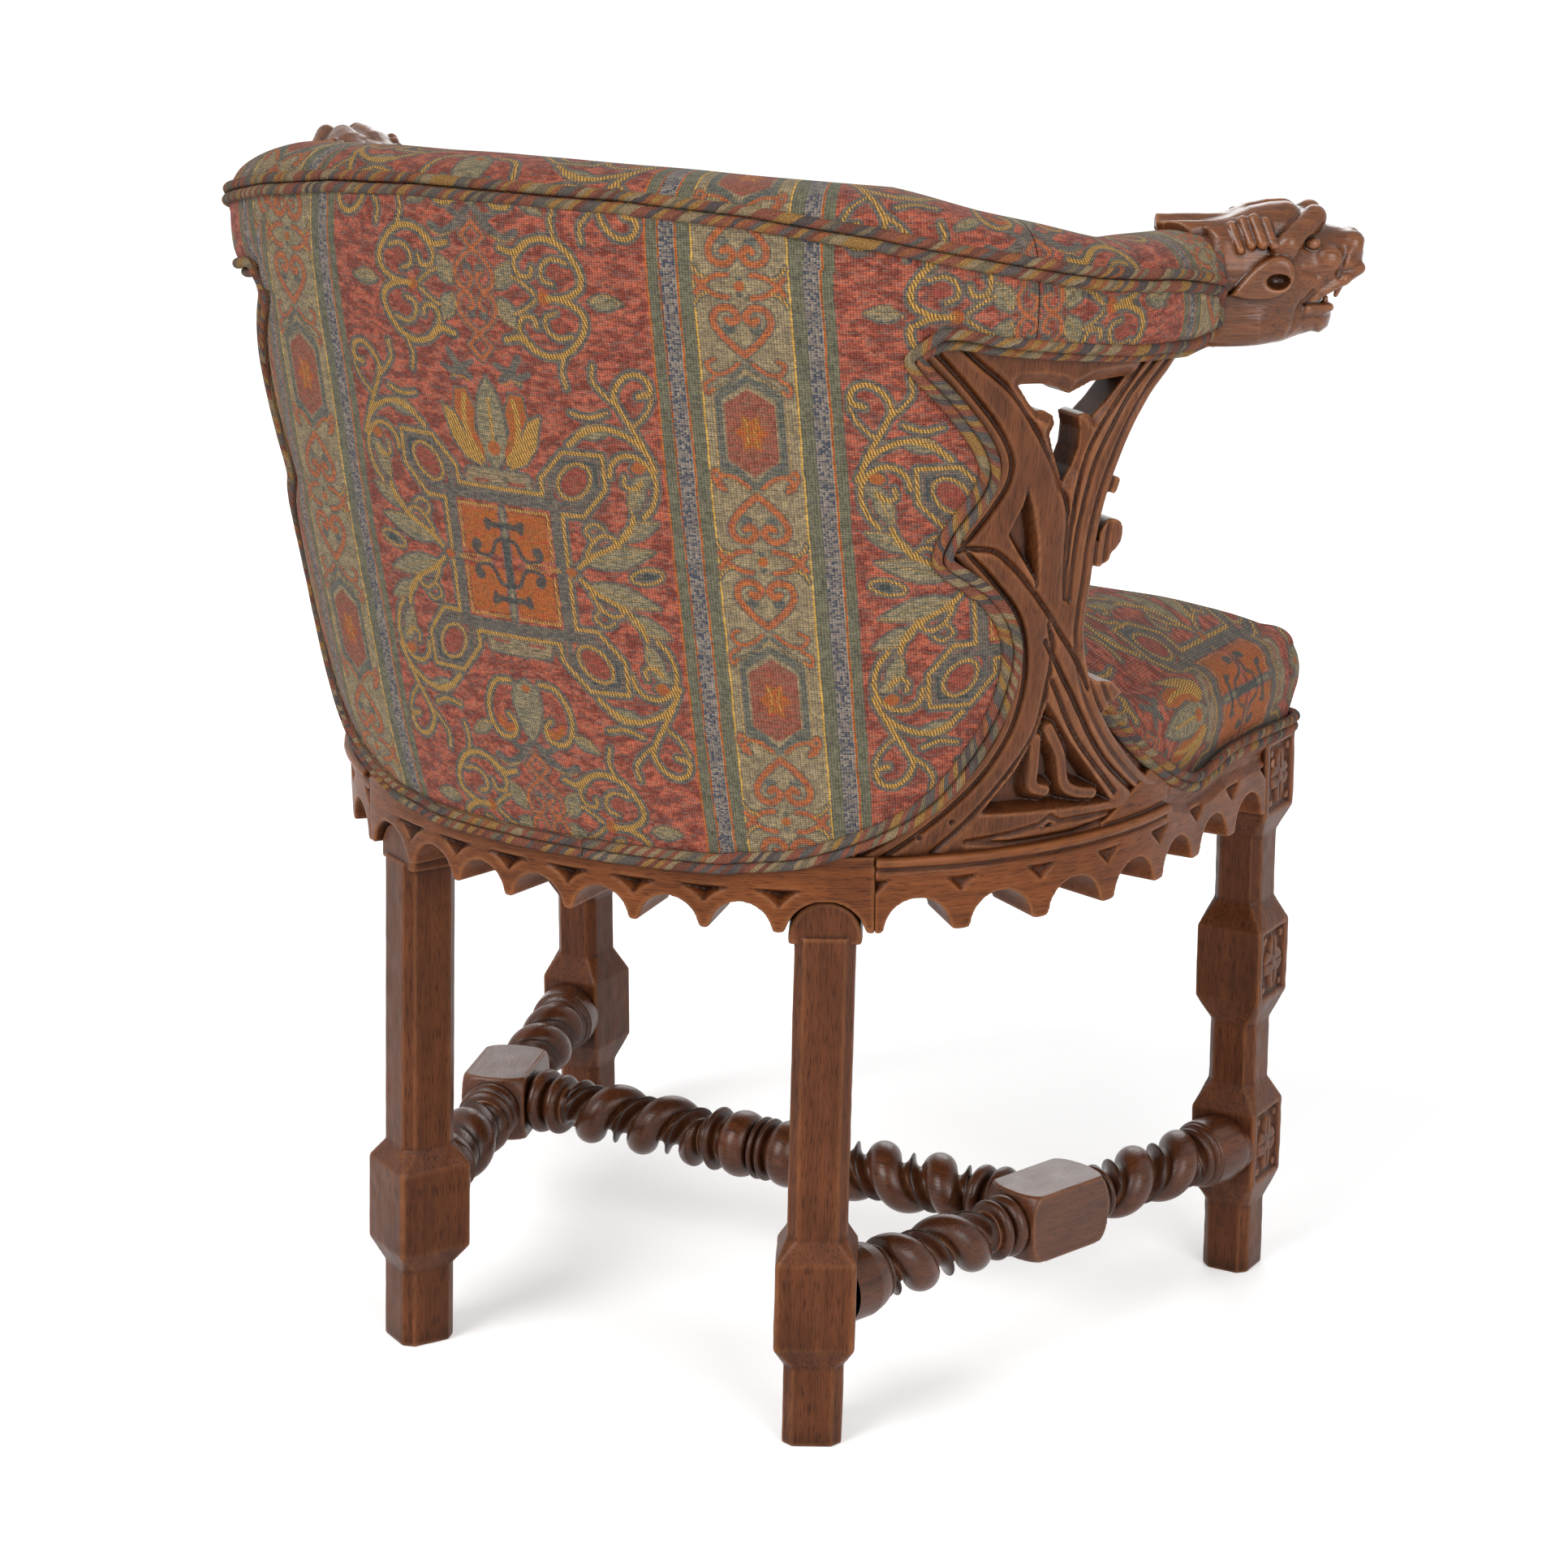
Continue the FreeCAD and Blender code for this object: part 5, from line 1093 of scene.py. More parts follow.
def outer_back():
    step = 1.5
    top = 818.0
    columns = np.arange(-330, 330 + step, step)
    rows = np.arange(399, top + 8, step)
    arc, z = np.meshgrid(columns, rows)
    limit = edge_arc(z) - 1.0
    turn_zone = np.clip((np.abs(arc) - arc_of_angle(33.0, 770.0)) / 12.0, 0, 1)
    over = z > 742
    limit = np.where(over, arc_of_angle(38.0, z), limit)
    inside = (np.abs(arc) <= limit) & (z <= rim_height(arc) + 3)
    # Stuffed back: fullest in the middle, drawn in at its edges
    side_gap = np.clip((limit - np.abs(arc)) / 60.0, 0, 1)
    low_gap = np.clip((z - 400) / 70.0, 0, 1)
    top_gap = np.clip((rim_height(arc) - z) / 50.0, 0, 1)
    full = np.sin(side_gap * math.pi / 2) * np.sin(low_gap * math.pi / 2) * np.sin(top_gap * math.pi / 2)
    pucker = noise(np.stack([arc * 0.35, z], -1), 30, 11) * 0.5 + noise(np.stack([arc, z], -1), 75, 12) * 1.2
    out = 0.5 + 5.0 * full + pucker * np.minimum(1, full * 2) - 4.5 * turn_zone * over
    verts = shell(arc, z, out)
    faces, used = kept_part(grid_faces(*arc.shape)[:, ::-1], inside)
    u, v = cloth_of_back(arc.ravel()[used], z.ravel()[used])
    item = new_object("outer_back", verts.reshape(-1, 3)[used], faces, CLOTH, figure_values(u, v))
    return place(item, ["outer_back_cover"], "fabric")


def beside(line, gap):
    """Line at a distance to the left of a flat line."""
    ahead = np.gradient(line, axis=0)
    ahead /= np.linalg.norm(ahead, axis=1)[:, None]
    return line + gap * np.stack([-ahead[:, 1], ahead[:, 0]], -1)


def welts():
    parts = []
    up_by = np.array([0, 0, 1.0])
    # Rim: two cords side by side, along the back and both arms to the rings
    share, run = even_way(560)
    middle, out, _ = roll_frame(share)
    rim_z = np.interp(np.abs(run) * 1.06, RIM_RUN, RIM_Z)
    for lift in (3.6, 10.6):
        level = rim_z + lift - middle[:, 2]
        half = np.where(level < 0, roll_low(share), roll_half_height(share))
        angle = np.arcsin(np.clip(np.sign(level) * np.abs(level / half) ** (1 / 0.78), -0.95, 0.95))
        a, b = roll_section(share, angle, CORD * 0.55)
        line = middle + out * a[:, None] + up_by * b[:, None]
        parts.append(tube(even_line(line, 2.0), CORD, phase=lift * 40))
    # Lower edge of the back, up the cusped edges and along under the arms; its ends meet beside the middle
    under_share = np.linspace(0.36, 0.992, 90)
    for gap, turn, phase in ((0.6, -1.0, 0.0), (7.5, -0.7, 300.0)):
        m, o, _ = roll_frame(under_share)
        a, b = roll_section(under_share, np.full(90, turn), CORD * 0.5)
        under = m + o * a[:, None] + up_by * b[:, None]
        for side, start in ((1, 16.2), (-1, -15.8)):
            foot = np.column_stack([np.linspace(start, 114, 50), np.full(50, 397.4)])
            flat = np.vstack([foot, EDGE[1:]])
            flat = even_line(np.column_stack([flat, np.zeros(len(flat))]), 3.0)[:, :2]
            flat = beside(flat, gap)
            whole = np.vstack([shell(flat[:-3, 0], flat[:-3, 1], 3.0), under])
            whole = even_line(whole, 2.0)
            for _ in range(4):
                whole[1:-1] = (whole[:-2] + 2 * whole[1:-1] + whole[2:]) / 4
            parts.append(tube(whole if side > 0 else mirrored(whole), CORD, phase=phase + side * 77))
    # Rings at the arm ends
    for side in (1.0, -1.0):
        for along, radius in ((-2.5, 37.6), (4.4, 37.0)):
            t = np.linspace(0, 2 * math.pi, 120, endpoint=False)
            ring = np.stack([RING[0] + HEAD_DIR[0] * along - HEAD_DIR[1] * -radius * np.cos(t),
                             RING[1] + HEAD_DIR[1] * along + HEAD_DIR[0] * -radius * np.cos(t),
                             RING_Z + (radius - 0.6) * np.sin(t)], -1)
            parts.append(tube(ring * np.array([side, 1, 1]), CORD, closed=True, phase=along * 31 + side * 9))
    # Lower edge of the seat, down along the wooden sides and across the front
    seat_side = curve([
        (-286, 26, 490), (-294, 18, 477), (-301, -8, 452), (-305.5, -29, 436), (-309, -56, 419),
        (-311, -84, 409.5), (-311, -112, 412), (-311, -140, 416), (-310, -189, 414), (-308.5, -244, 410),
        (-303, -264, 409), (-286, -270, 409),
    ], 14)
    seat_front = np.vstack([seat_side, [(-250, -271, 410), (0, -271, 410)]])
    for lift, gap in ((0.0, 0.0), (6.9, 0.8)):
        line = seat_front + np.array([-gap, 0, lift])
        line[:, 1] = np.where(line[:, 1] < -240, line[:, 1] - gap, line[:, 1])
        full_line = np.vstack([line, mirrored(line)[::-1][1:]])
        parts.append(tube(even_line(full_line, 2.0), CORD, phase=900 + lift * 20))
    verts, faces, extras = join(parts)
    return place(new_object("piping", verts, faces, WELT, extras), [], "fabric")


def seat_ring(count):
    """Outline of the seat, from the rear middle round its right side to the front and back."""
    rear = shell(np.linspace(0, arc_of_angle(56.0, RAIL_TOP), 60), RAIL_TOP, -38.0)[:, :2]
    side = [(-264, 44), (-280, 29), (-288, 12), (-294, -22), (-300, -60), (-303, -100), (-305, -240)]
    bend = [(-305 + 17 - 17 * math.cos(t), -252 - 17 * math.sin(t)) for t in np.linspace(0.1, math.pi / 2, 9)]
    right = np.vstack([rear, curve(side, 8), bend, [(0, -268)]])
    left = right[::-1][1:-1] * [-1, 1]
    ring = np.vstack([right, left])
    closed = np.vstack([ring, ring[:1]])
    run = run_of(closed)
    t = np.linspace(0, run[-1], count, endpoint=False)
    return np.stack([np.interp(t, run, closed[:, n]) for n in (0, 1)], -1)


def seat():
    count = 760
    edge = seat_ring(count)
    for _ in range(6):
        edge = softened(edge)
    ahead = np.roll(edge, -1, 0) - np.roll(edge, 1, 0)
    normal = np.stack([ahead[:, 1], -ahead[:, 0]], -1)
    normal /= np.linalg.norm(normal, axis=1)[:, None]
    spine = np.stack([np.clip(edge[:, 0], -140, 140), np.full(count, -50.0)], -1)
    # Side of the seat from the rail upward: out and height
    wall = curve([(-6, 402), (-3, 409), (-1.5, 417), (0.5, 425), (2.5, 433), (5, 443), (5.5, 453), (4, 461),
                  (1, 468)], 4)
    bend = [(1 - 20 + 20 * math.cos(t), 468 + 14 * math.sin(t)) for t in np.linspace(0.12, math.pi / 2, 12)]
    profile = np.vstack([wall, bend])
    steps = np.hypot(*np.diff(profile, axis=0).T)
    girth = np.concatenate([np.cumsum(steps[::-1])[::-1], [0]])
    inward = np.linspace(0, 1, 74)[1:]
    rows, cloth = [], []
    top_out, top_z = profile[-1]
    top_edge = edge + normal * top_out
    for (out, z), far in zip(profile, girth):
        rows.append(np.column_stack([edge + normal * out, np.full(count, z)]))
        cloth.append(top_edge + normal * far)
    ring, middle = top_edge, spine
    for k in inward:
        for _ in range(14):
            ring = softened(ring)
            middle = softened(middle)
        flat = ring * (1 - k) + middle * k
        rise = 46 * (1 - (1 - k) ** 2.7)
        rows.append(np.column_stack([flat, np.full(count, top_z + rise)]))
        cloth.append(flat)
    verts = np.stack(rows)
    cloth = np.stack(cloth)
    wrinkle = noise(verts * [1, 1, 0.5], 60, 21) * 1.6 + noise(verts, 24, 22) * 0.35
    verts[len(profile):, :, 2] += wrinkle[len(profile):]
    # Pleats where the cover is folded at the front corners
    for side in (-1, 1):
        gap = np.abs((verts[..., 0] - side * 296) * 0.7 - side * (verts[..., 1] + 258) * 0.7)
        corner = (np.abs(verts[..., 0]) > 270) & (verts[..., 1] < -232) & (verts[..., 2] < 474)
        depth = np.where(corner, 3.0 * np.exp(-(gap / 2.2) ** 2), 0)
        verts[..., 0] -= side * depth * 0.7
        verts[..., 1] += depth * 0.7
    u = cloth[..., 0] + 322.0
    v = cloth[..., 1] + 168.0
    faces = grid_faces(len(rows), count, close_columns=True)
    extras = figure_values(u.ravel(), v.ravel())
    item = new_object("seat", verts.reshape(-1, 3), faces, CLOTH, extras)
    return place(item, ["seat_pad"], "fabric")


def inner_back():
    step = 2.4
    columns = np.arange(-300, 300 + step, step)
    rows = np.arange(462, 806, step)
    arc, z = np.meshgrid(columns, rows)
    limit = edge_arc(np.clip(z, 410, 742)) - 12
    inside = np.abs(arc) <= limit
    side_gap = np.clip((limit - np.abs(arc)) / 45.0, 0, 1)
    low_gap = np.clip((z - 462) / 40.0, 0, 1)
    full = np.sin(side_gap * math.pi / 2) * np.sin(low_gap * math.pi / 2)
    pucker = noise(np.stack([arc, z], -1), 70, 31) * 1.5
    inset = 36 + 30 * full ** 0.7 + pucker * full
    front = shell(arc, z, -inset)
    back = shell(arc, z, -33.0 + 0 * inset)
    front_faces, used = kept_part(grid_faces(*arc.shape), inside)
    u, v = cloth_of_back(-arc.ravel()[used], z.ravel()[used])
    verts = np.vstack([front.reshape(-1, 3)[used], back.reshape(-1, 3)[used]])
    number = len(used)
    edges = np.concatenate([front_faces[:, [n, (n + 1) % 4]] for n in range(4)])
    key = np.sort(edges, 1)
    _, where, times = np.unique(key, axis=0, return_index=True, return_counts=True)
    rim = edges[where[times == 1]]
    wall = np.stack([rim[:, 1], rim[:, 0], rim[:, 0] + number, rim[:, 1] + number], -1)
    whole = np.vstack([front_faces, front_faces[:, ::-1] + number, wall])
    extras = figure_values(np.tile(u, 2), np.tile(v, 2))
    item = new_object("inner_back", verts, whole, CLOTH, extras)
    return place(item, ["inner_back_pad"], "fabric")


# Wood

def nets_piece(low, high, step, solid):
    """Samples a solid on a grid between two corners and returns its quads in that space."""
    x, y, z = axes(low, high, step)
    field = solid(x[:, None, None], y[None, :, None], z[None, None, :])
    field = np.broadcast_to(field, (len(x), len(y), len(z))).copy()
    for axis in range(3):
        edge = [slice(None)] * 3
        for end in (0, -1):
            edge[axis] = end
            field[tuple(edge)] = np.maximum(field[tuple(edge)], step)
    verts, quads = surface_nets(field, (x[0], y[0], z[0]), step)
    return relax(verts, quads, 1, 0.4), quads


def both_sides(name, verts, faces, grain, material, node):
    """Right piece and its mirrored left one, which stand for the nodes of the same side."""
    for prefix, side, quads in (("right_", 1.0, faces), ("left_", -1.0, faces[:, ::-1])):
        turned = verts * np.array([side, 1, 1])
        item = new_object(prefix + name, turned, quads, material, {"grain": grain * MM})
        place(item, [prefix + node], "oak")


def octagon(a, b, half, chamfer):
    a, b = np.abs(a), np.abs(b)
    return np.maximum(np.maximum(a, b) - half, (a + b - 2 * half + chamfer) / math.sqrt(2))


def quatrefoil(a, c, half_a, half_c):
    """Depth of a carved panel: sunk ground with four petals round a boss and corner sprigs."""
    frame_gap = np.maximum(np.abs(a) - half_a, np.abs(c) - half_c)
    r = np.hypot(a, c * half_a / half_c)
    t = np.arctan2(c * half_a / half_c, a)
    petal = r - half_a * (0.55 + 0.36 * np.abs(np.cos(2 * t)) ** 0.8)
    vein = np.abs(np.sin(2 * t)) * r
    lift = np.where(petal < 0, np.minimum(3.0, -petal * 0.9), 0) - np.where((vein < 1.4) & (r > 4), 1.1, 0)
    lift = np.maximum(lift, 3.4 - np.maximum(r - 2.6, 0) * 2.2)
    sprig = np.hypot(np.abs(a) - half_a * 0.74, np.abs(c) - half_c * 0.74) - 3.0
    lift = np.maximum(lift, np.where(sprig < 0, 2.2, 0))
    ground = np.clip(-frame_gap * 1.2, 0, 3.4)
    return np.maximum(ground - np.maximum(lift, 0), 0)


FRONT_LEG = (-283.0, -235.0)
REAR_LEG_ANGLE = 28.5


def front_legs():
    levels = np.array([0, 52.5, 72.5, 127, 147, 192.5, 212.5, 265.5, 285.5, 335, 352, 430.0])
    half = np.array([18, 18, 25, 25, 18, 18, 25, 25, 18, 18, 25, 25.0])
    chamfer = np.array([6, 6, 0.8, 0.8, 6, 6, 0.8, 0.8, 6, 6, 0.8, 0.8])

    def solid(a, b, z):
        h = np.interp(z, levels, half)
        c = np.interp(z, levels, chamfer)
        body = octagon(a, b, h, c)
        for low, high in ((74, 126), (214, 264), (354, 404)):
            middle = (low + high) / 2
            span = (high - low) / 2
            carve = quatrefoil(b, z - middle, 19.0, span)
            body = np.maximum(body, -(a + h) + np.where(np.abs(z - middle) < span + 2, carve, 0))
            carve = quatrefoil(a, z - middle, 19.0, span)
            body = np.maximum(body, -(b + h) + np.where(np.abs(z - middle) < span + 2, carve, 0))
        return np.maximum(body, np.maximum(-z, z - RAIL_TOP))

    verts, quads = nets_piece((-25, -25, 0), (25, 25, RAIL_TOP), 1.3, solid)
    wear = noise(verts, 9, 41)[:, None] * np.array([0.25, 0.25, 0.0])
    grain = verts[:, [2, 0, 1]]
    verts = verts + wear + np.array([FRONT_LEG[0], FRONT_LEG[1], 0])
    both_sides("front_post", verts, quads, grain, OAK_LEG, "front_leg")


def rear_leg_middle(z):
    point = shell(arc_of_angle(REAR_LEG_ANGLE, RAIL_TOP), RAIL_TOP, -24.0)
    lean = math.tan(math.radians(2.75))
    return np.stack([np.full(np.shape(z), point[0]), point[1] + (RAIL_FOOT - z) * lean, z], -1)


def rear_legs():
    levels = np.array([0, 56, 71, 130.5, 145.5, 349, 400.0])
    half = np.array([20, 20, 27, 27, 20, 20, 20.0])
    chamfer = np.array([6.5, 6.5, 0.8, 0.8, 6.5, 6.5, 6.5])

    def solid(a, b, z):
        body = octagon(a, b, np.interp(z, levels, half), np.interp(z, levels, chamfer))
        body = np.maximum(body, z - 352.0)
        round_head = np.hypot(a, np.maximum(z - 352.0, 0)) - 24.0
        head = np.maximum(np.maximum(round_head, np.abs(b + 1.0) - 19.0), 347.0 - z)
        return np.maximum(np.minimum(body, head), -z)

    verts, quads = nets_piece((-27, -27, 0), (27, 27, 378), 1.5, solid)
    wear = noise(verts, 10, 43)[:, None] * np.array([0.25, 0.25, 0.0])
    grain = verts[:, [2, 0, 1]]
    turn = math.radians(REAR_LEG_ANGLE)
    local = verts + wear
    middle = rear_leg_middle(np.minimum(verts[:, 2], RAIL_FOOT))
    x = local[:, 0] * math.cos(turn) - local[:, 1] * math.sin(turn)
    y = local[:, 0] * math.sin(turn) + local[:, 1] * math.cos(turn)
    world = np.stack([middle[:, 0] + x, middle[:, 1] + y, verts[:, 2]], -1)
    both_sides("rear_post", world, quads, grain, OAK_LEG, "rear_leg")


LEG_ARC = float(arc_of_angle(REAR_LEG_ANGLE, RAIL_TOP))
JOINT_ARC = float(arc_of_angle(35.6, RAIL_TOP))
# Half of the rail's run that a rear leg takes up, and radius and drop of the arch over it
LEG_HALF_RUN = 31.0
LEG_ARCH = (27.0, 5.0)
# Level, half width, height and depth of the triangles cut into the side and front rails
CHIP = (393.0, 12.5, 12.0, 4.5)
SIDE_START = LEG_ARC + LEG_HALF_RUN
SIDE_END = float(arc_of_angle(90.0, RAIL_TOP)) + (plan_at(RAIL_TOP)[5] + 210.0)


def arcade_solid(s, z, depth, arches, top, thickness, tip):
    """Rail with round arches below: s along, z up, depth inward."""
    region = np.maximum(z - top, RAIL_FOOT - z)
    for centre, radius, drop in arches:
        region = smooth_max(region, radius - np.hypot(s - centre, z - (RAIL_FOOT - drop)), tip)
    return np.maximum(np.maximum(region, -depth), depth - thickness)


def spandrels(s, z, arches, band, moulding, deep):
    """Depth of the hollows between the bands of the arches and under the plain fascia."""
    gap = np.full(np.broadcast(s, z).shape, 1e3)
    for centre, radius, drop in arches:
        gap = np.minimum(gap, np.hypot(s - centre, z - (RAIL_FOOT - drop)) - radius - band)
    sunk = np.clip(np.minimum(gap, moulding - z) * 1.7, 0, deep)
    inside = (s > min(a[0] for a in arches)) & (s < max(a[0] for a in arches))
    return np.where(inside, sunk, 0)


def chips(s, z, places, level, half, high, deep):
    """Depth of small triangles cut with the point down."""
    sunk = np.zeros(np.broadcast(s, z).shape)
    for place_s in places:
        gap = np.minimum(level - z, (z - level + high) * 0.8 - np.abs(s - place_s) * high / half * 0.8)
        sunk = np.maximum(sunk, np.clip(gap * 1.3, 0, deep))
    return sunk


def rail_world(verts):
    s, z, depth = verts[:, 0], verts[:, 1], verts[:, 2]
    flat = shell(s, np.full(len(s), RAIL_TOP), -depth)
    flat[:, 2] = z
    return flat


def rear_rail():
    pitch = 2 * (LEG_ARC - LEG_HALF_RUN) / 6
    arches = [(-LEG_ARC, *LEG_ARCH), (LEG_ARC, *LEG_ARCH)]
    arches += [((n - 2.5) * pitch, (pitch - 7) / 2, 1.5) for n in range(6)]

    def solid(s, z, depth):
        field = arcade_solid(s, z, depth, arches, RAIL_TOP, RAIL_THICK, 3.5)
        field = np.maximum(field, spandrels(s, z, arches, 9.5, 386.0, 8.0) - depth)
        return np.maximum(field, np.abs(s) - JOINT_ARC)

    verts, quads = nets_piece((-JOINT_ARC, 352, 0), (JOINT_ARC, RAIL_TOP, RAIL_THICK), 1.3, solid)
    verts[:, 2] += noise(verts, 12, 51) * 0.25
    item = new_object("rear_arcade", rail_world(verts), quads[:, ::-1], OAK_RAIL, {"grain": verts * MM})
    place(item, ["rear_seat_rail"], "oak")


def side_rails():
    pitch = (SIDE_END - SIDE_START) / 7
    arches = [(LEG_ARC, *LEG_ARCH)]
    arches += [(SIDE_START + (n + 0.5) * pitch, (pitch - 14) / 2, -1.0) for n in range(7)]
    arches += [(SIDE_END + 0.5 * pitch, (pitch - 14) / 2, -1.0)]
    cuts = [SIDE_START + n * pitch for n in range(8)]
    knee = float(arc_of_angle(90.0, RAIL_TOP)) + plan_at(RAIL_TOP)[5]

    def solid(s, z, depth):
        y = knee - s
        lip = np.interp(-y, [-30, 0, 21, 52, 84, 112, 140, 189, 212],
                        [410, 426, 437, 418, 408, 409, 413, 411, 408])
        top = np.where(y < 30, lip, RAIL_TOP)
        thick = np.where(z > RAIL_TOP, 11.0, RAIL_THICK)
        field = arcade_solid(s, z, depth, arches, top, thick, 5.0)
        field = np.maximum(field, chips(s, z, cuts, *CHIP) - depth)
        # Bead and hollow along the top of the rail
        bead = np.hypot(z - 404.5, depth + 1.0) - 3.4
        low_groove = np.hypot(z - 399.4, depth + 0.6) - 2.3
        high_groove = np.hypot(z - 409.0, depth + 0.6) - 1.8
        inner = y > -46
        cut = np.maximum(np.maximum(field, -low_groove), -high_groove)
        field = np.where(inner, np.minimum(cut, bead), field)
        dish = np.where(y < 0, np.clip(9.0 - np.abs(top - 10 - z), 0, 7) * 0.6, 0)
        field = np.where(inner, field, np.maximum(field, dish - depth))
        return np.maximum(field, np.maximum(JOINT_ARC - s, s - SIDE_END))

    verts, quads = nets_piece((JOINT_ARC, 352, -5), (SIDE_END, 438, RAIL_THICK), 1.3, solid)
    verts[:, 2] += noise(verts, 12, 53) * 0.25
    world = rail_world(verts)
    both_sides("side_arcade", world, quads[:, ::-1], verts, OAK_RAIL, "seat_rail")


def front_rail():
    half = 258.0
    pitch = 2 * half / 9
    arches = [((n - 4) * pitch, (pitch - 14) / 2, -1.0) for n in range(9)]

    def solid(s, z, depth):
        field = arcade_solid(s, z, depth, arches, RAIL_TOP, RAIL_THICK, 4.0)
        cuts = [(n - 3.5) * pitch for n in range(8)]
        field = np.maximum(field, chips(s, z, cuts, *CHIP) - depth)
        return np.maximum(field, np.abs(s) - half)

    verts, quads = nets_piece((-half, 352, 0), (half, 410, RAIL_THICK), 1.5, solid)
    world = np.stack([verts[:, 0], -260.0 + verts[:, 2], verts[:, 1]], -1)
    item = new_object("front_arcade", world, quads[:, ::-1], OAK_RAIL, {"grain": verts * MM})
    place(item, ["front_seat_rail"], "oak")


STRETCHER_Z = 100.0
# Radius in the hollows of the twists, and points round a turned piece
HOLLOW = 11.0
TURNED_SIDES = 72


def twisted(start, end, turns, phase, swell=12.2):
    """Radius of a rope twist with one fat and one thin strand, over run and angle."""
    def radius(run, angle):
        share = (run - start) / (end - start)
        turn = angle - 2 * math.pi * turns * share + phase
        turn = (turn + math.pi) % (2 * math.pi) - math.pi
        fat = HOLLOW + swell * np.sqrt(np.clip(1 - (turn / 1.95) ** 2, 0, 1))
        thin = HOLLOW + 8.6 * np.exp(-((math.pi - np.abs(turn)) / 0.42) ** 2)
        ends = np.clip(np.minimum(share, 1 - share) / 0.05, 0, 1)
        return HOLLOW + (np.maximum(fat, thin) - HOLLOW) * ends ** 0.5
    return radius


def spindle(spans, start, end, count):
    """Grid of a turned piece along +x: spans are (from, to, radius of run and angle)."""
    run = np.linspace(start, end, count)
    angle = np.linspace(0, 2 * math.pi, TURNED_SIDES, endpoint=False)
    r = np.zeros((count, TURNED_SIDES))
    for low, high, radius in spans:
        pick = (run >= low) & (run <= high)
        r[pick] = radius(run[pick][:, None], angle[None, :])
    x = np.broadcast_to(run[:, None], r.shape)
    verts = np.stack([x, r * np.cos(angle), r * np.sin(angle)], -1).reshape(-1, 3)
    return verts, grid_faces(count, TURNED_SIDES, close_columns=True)[:, ::-1]


def ring_profile(low, high, body, rings):
    """Turned body with half-round rings at places: (middle, half length, height)."""
    def radius(run, angle):
        r = np.full(np.broadcast(run, angle).shape, float(body))
        for middle, half, height in rings:
            bump = np.sqrt(np.clip(1 - ((run - middle) / half) ** 2, 0, 1)) * height
            r = np.maximum(r, body + bump + 0 * angle)
        return r
    return low, high, radius


def block_mesh(length, width, height):
    """Square block whose ends were rounded on the lathe."""
    def solid(x, y, z):
        body = np.maximum(np.maximum(np.abs(x) - length / 2, np.abs(y) - width / 2), np.abs(z) - height / 2)
        edge = np.hypot(width, height) / 2
        over = np.clip((np.abs(x) - length / 2 + 13) / 13, 0, 1)
        turned = np.hypot(y, z) - 18 - (edge - 18) * np.sqrt(1 - over ** 2)
        return np.maximum(body, turned * 0.7)
    return nets_piece((-length / 2, -width / 2, -height / 2), (length / 2, width / 2, height / 2), 1.2, solid)


def stretchers():
    front = np.array([FRONT_LEG[0], -210.0, STRETCHER_Z])
    rear = rear_leg_middle(np.array(STRETCHER_Z))
    line = rear - front
    length = float(np.linalg.norm(line))
    ahead = line / length
    side = np.cross([0, 0, 1.0], ahead)
    middle = (-39.0 - front[1]) / ahead[1]
    low, high = middle - 38, middle + 38
    last = length - 27.0
    parts = []
    front_spans = [
        ring_profile(-8, 24, 23.5, [(12, 15, 1.6)]),
        ring_profile(24, 36, 15, [(26, 3.6, 8.5), (32, 3.4, 6.5)]),
        (36, low - 14, twisted(36, low - 14, -2.0, 3.29)),
        ring_profile(low - 14, low + 3, 13, [(low - 10, 3.6, 6.5), (low - 2, 4.6, 8.5)]),
    ]
    parts.append(spindle(front_spans, -8, low + 3, 360))
    twist_end, collar_start = 340.0, 346.0

    def collar(run, angle):
        return 19.5 + 6.3 * np.sqrt(np.clip((run - collar_start) / 14, 0, 1)) + 0 * angle

    rear_spans = [
        ring_profile(high - 3, high + 25, 14, [(high + 4, 6.4, 8.0), (high + 16.5, 4.6, 7.5)]),
        (high + 25, twist_end, twisted(high + 25, twist_end, 1.98, 2.93)),
        ring_profile(twist_end, collar_start, 14, [(twist_end + 3, 3.0, 5.5)]),
        (collar_start, last + 10, collar),
    ]
    parts.append(spindle(rear_spans, high - 3, last + 10, 360))
    block_verts, block_faces = block_mesh(76, 48, 49)
    parts.append((block_verts + [middle, 0, 0], block_faces))
    verts, faces, extras = join([(v, f, {"grain": v}) for v, f in parts])
    world = front + verts[:, :1] * ahead + verts[:, 1:2] * side + verts[:, 2:] * np.array([0, 0, 1.0])
    both_sides("stretcher", world, faces, extras["grain"], OAK_TURN, "side_stretcher")
    # Cross stretcher: twists to either side of a turned middle
    centre = front + ahead * middle
    reach = abs(centre[0]) - 23
    spans = [(50, 168, twisted(50, 168, -2.62, 0.02, 13.0)), (-168, -50, twisted(-168, -50, 2.62, 1.9, 13.0))]
    for sign in (-1, 1):
        low, high = sorted((sign * 168.0, sign * (reach + 4)))
        rings = [(sign * 177, 6.0, 8.5), (sign * 192, 7.0, 10.0), (sign * 203, 4.0, 7.0)]
        spans.append(ring_profile(low, high, 14, rings))
    rings = [(3.4, 3.2, 9.0), (20, 12.5, 10.5), (40, 3.6, 9.5), (46, 4, 3.0)]
    rings = [(sign * at_x, half, tall) for at_x, half, tall in rings for sign in (-1, 1)]
    spans.append(ring_profile(-50, 50, 14, rings))
    verts, faces = spindle(spans, -reach - 4, reach + 4, 760)
    world = verts + np.array([0, centre[1], STRETCHER_Z])
    item = new_object("cross_spindle", world, faces, OAK_TURN, {"grain": verts * MM})
    place(item, ["cross_stretcher"], "oak")


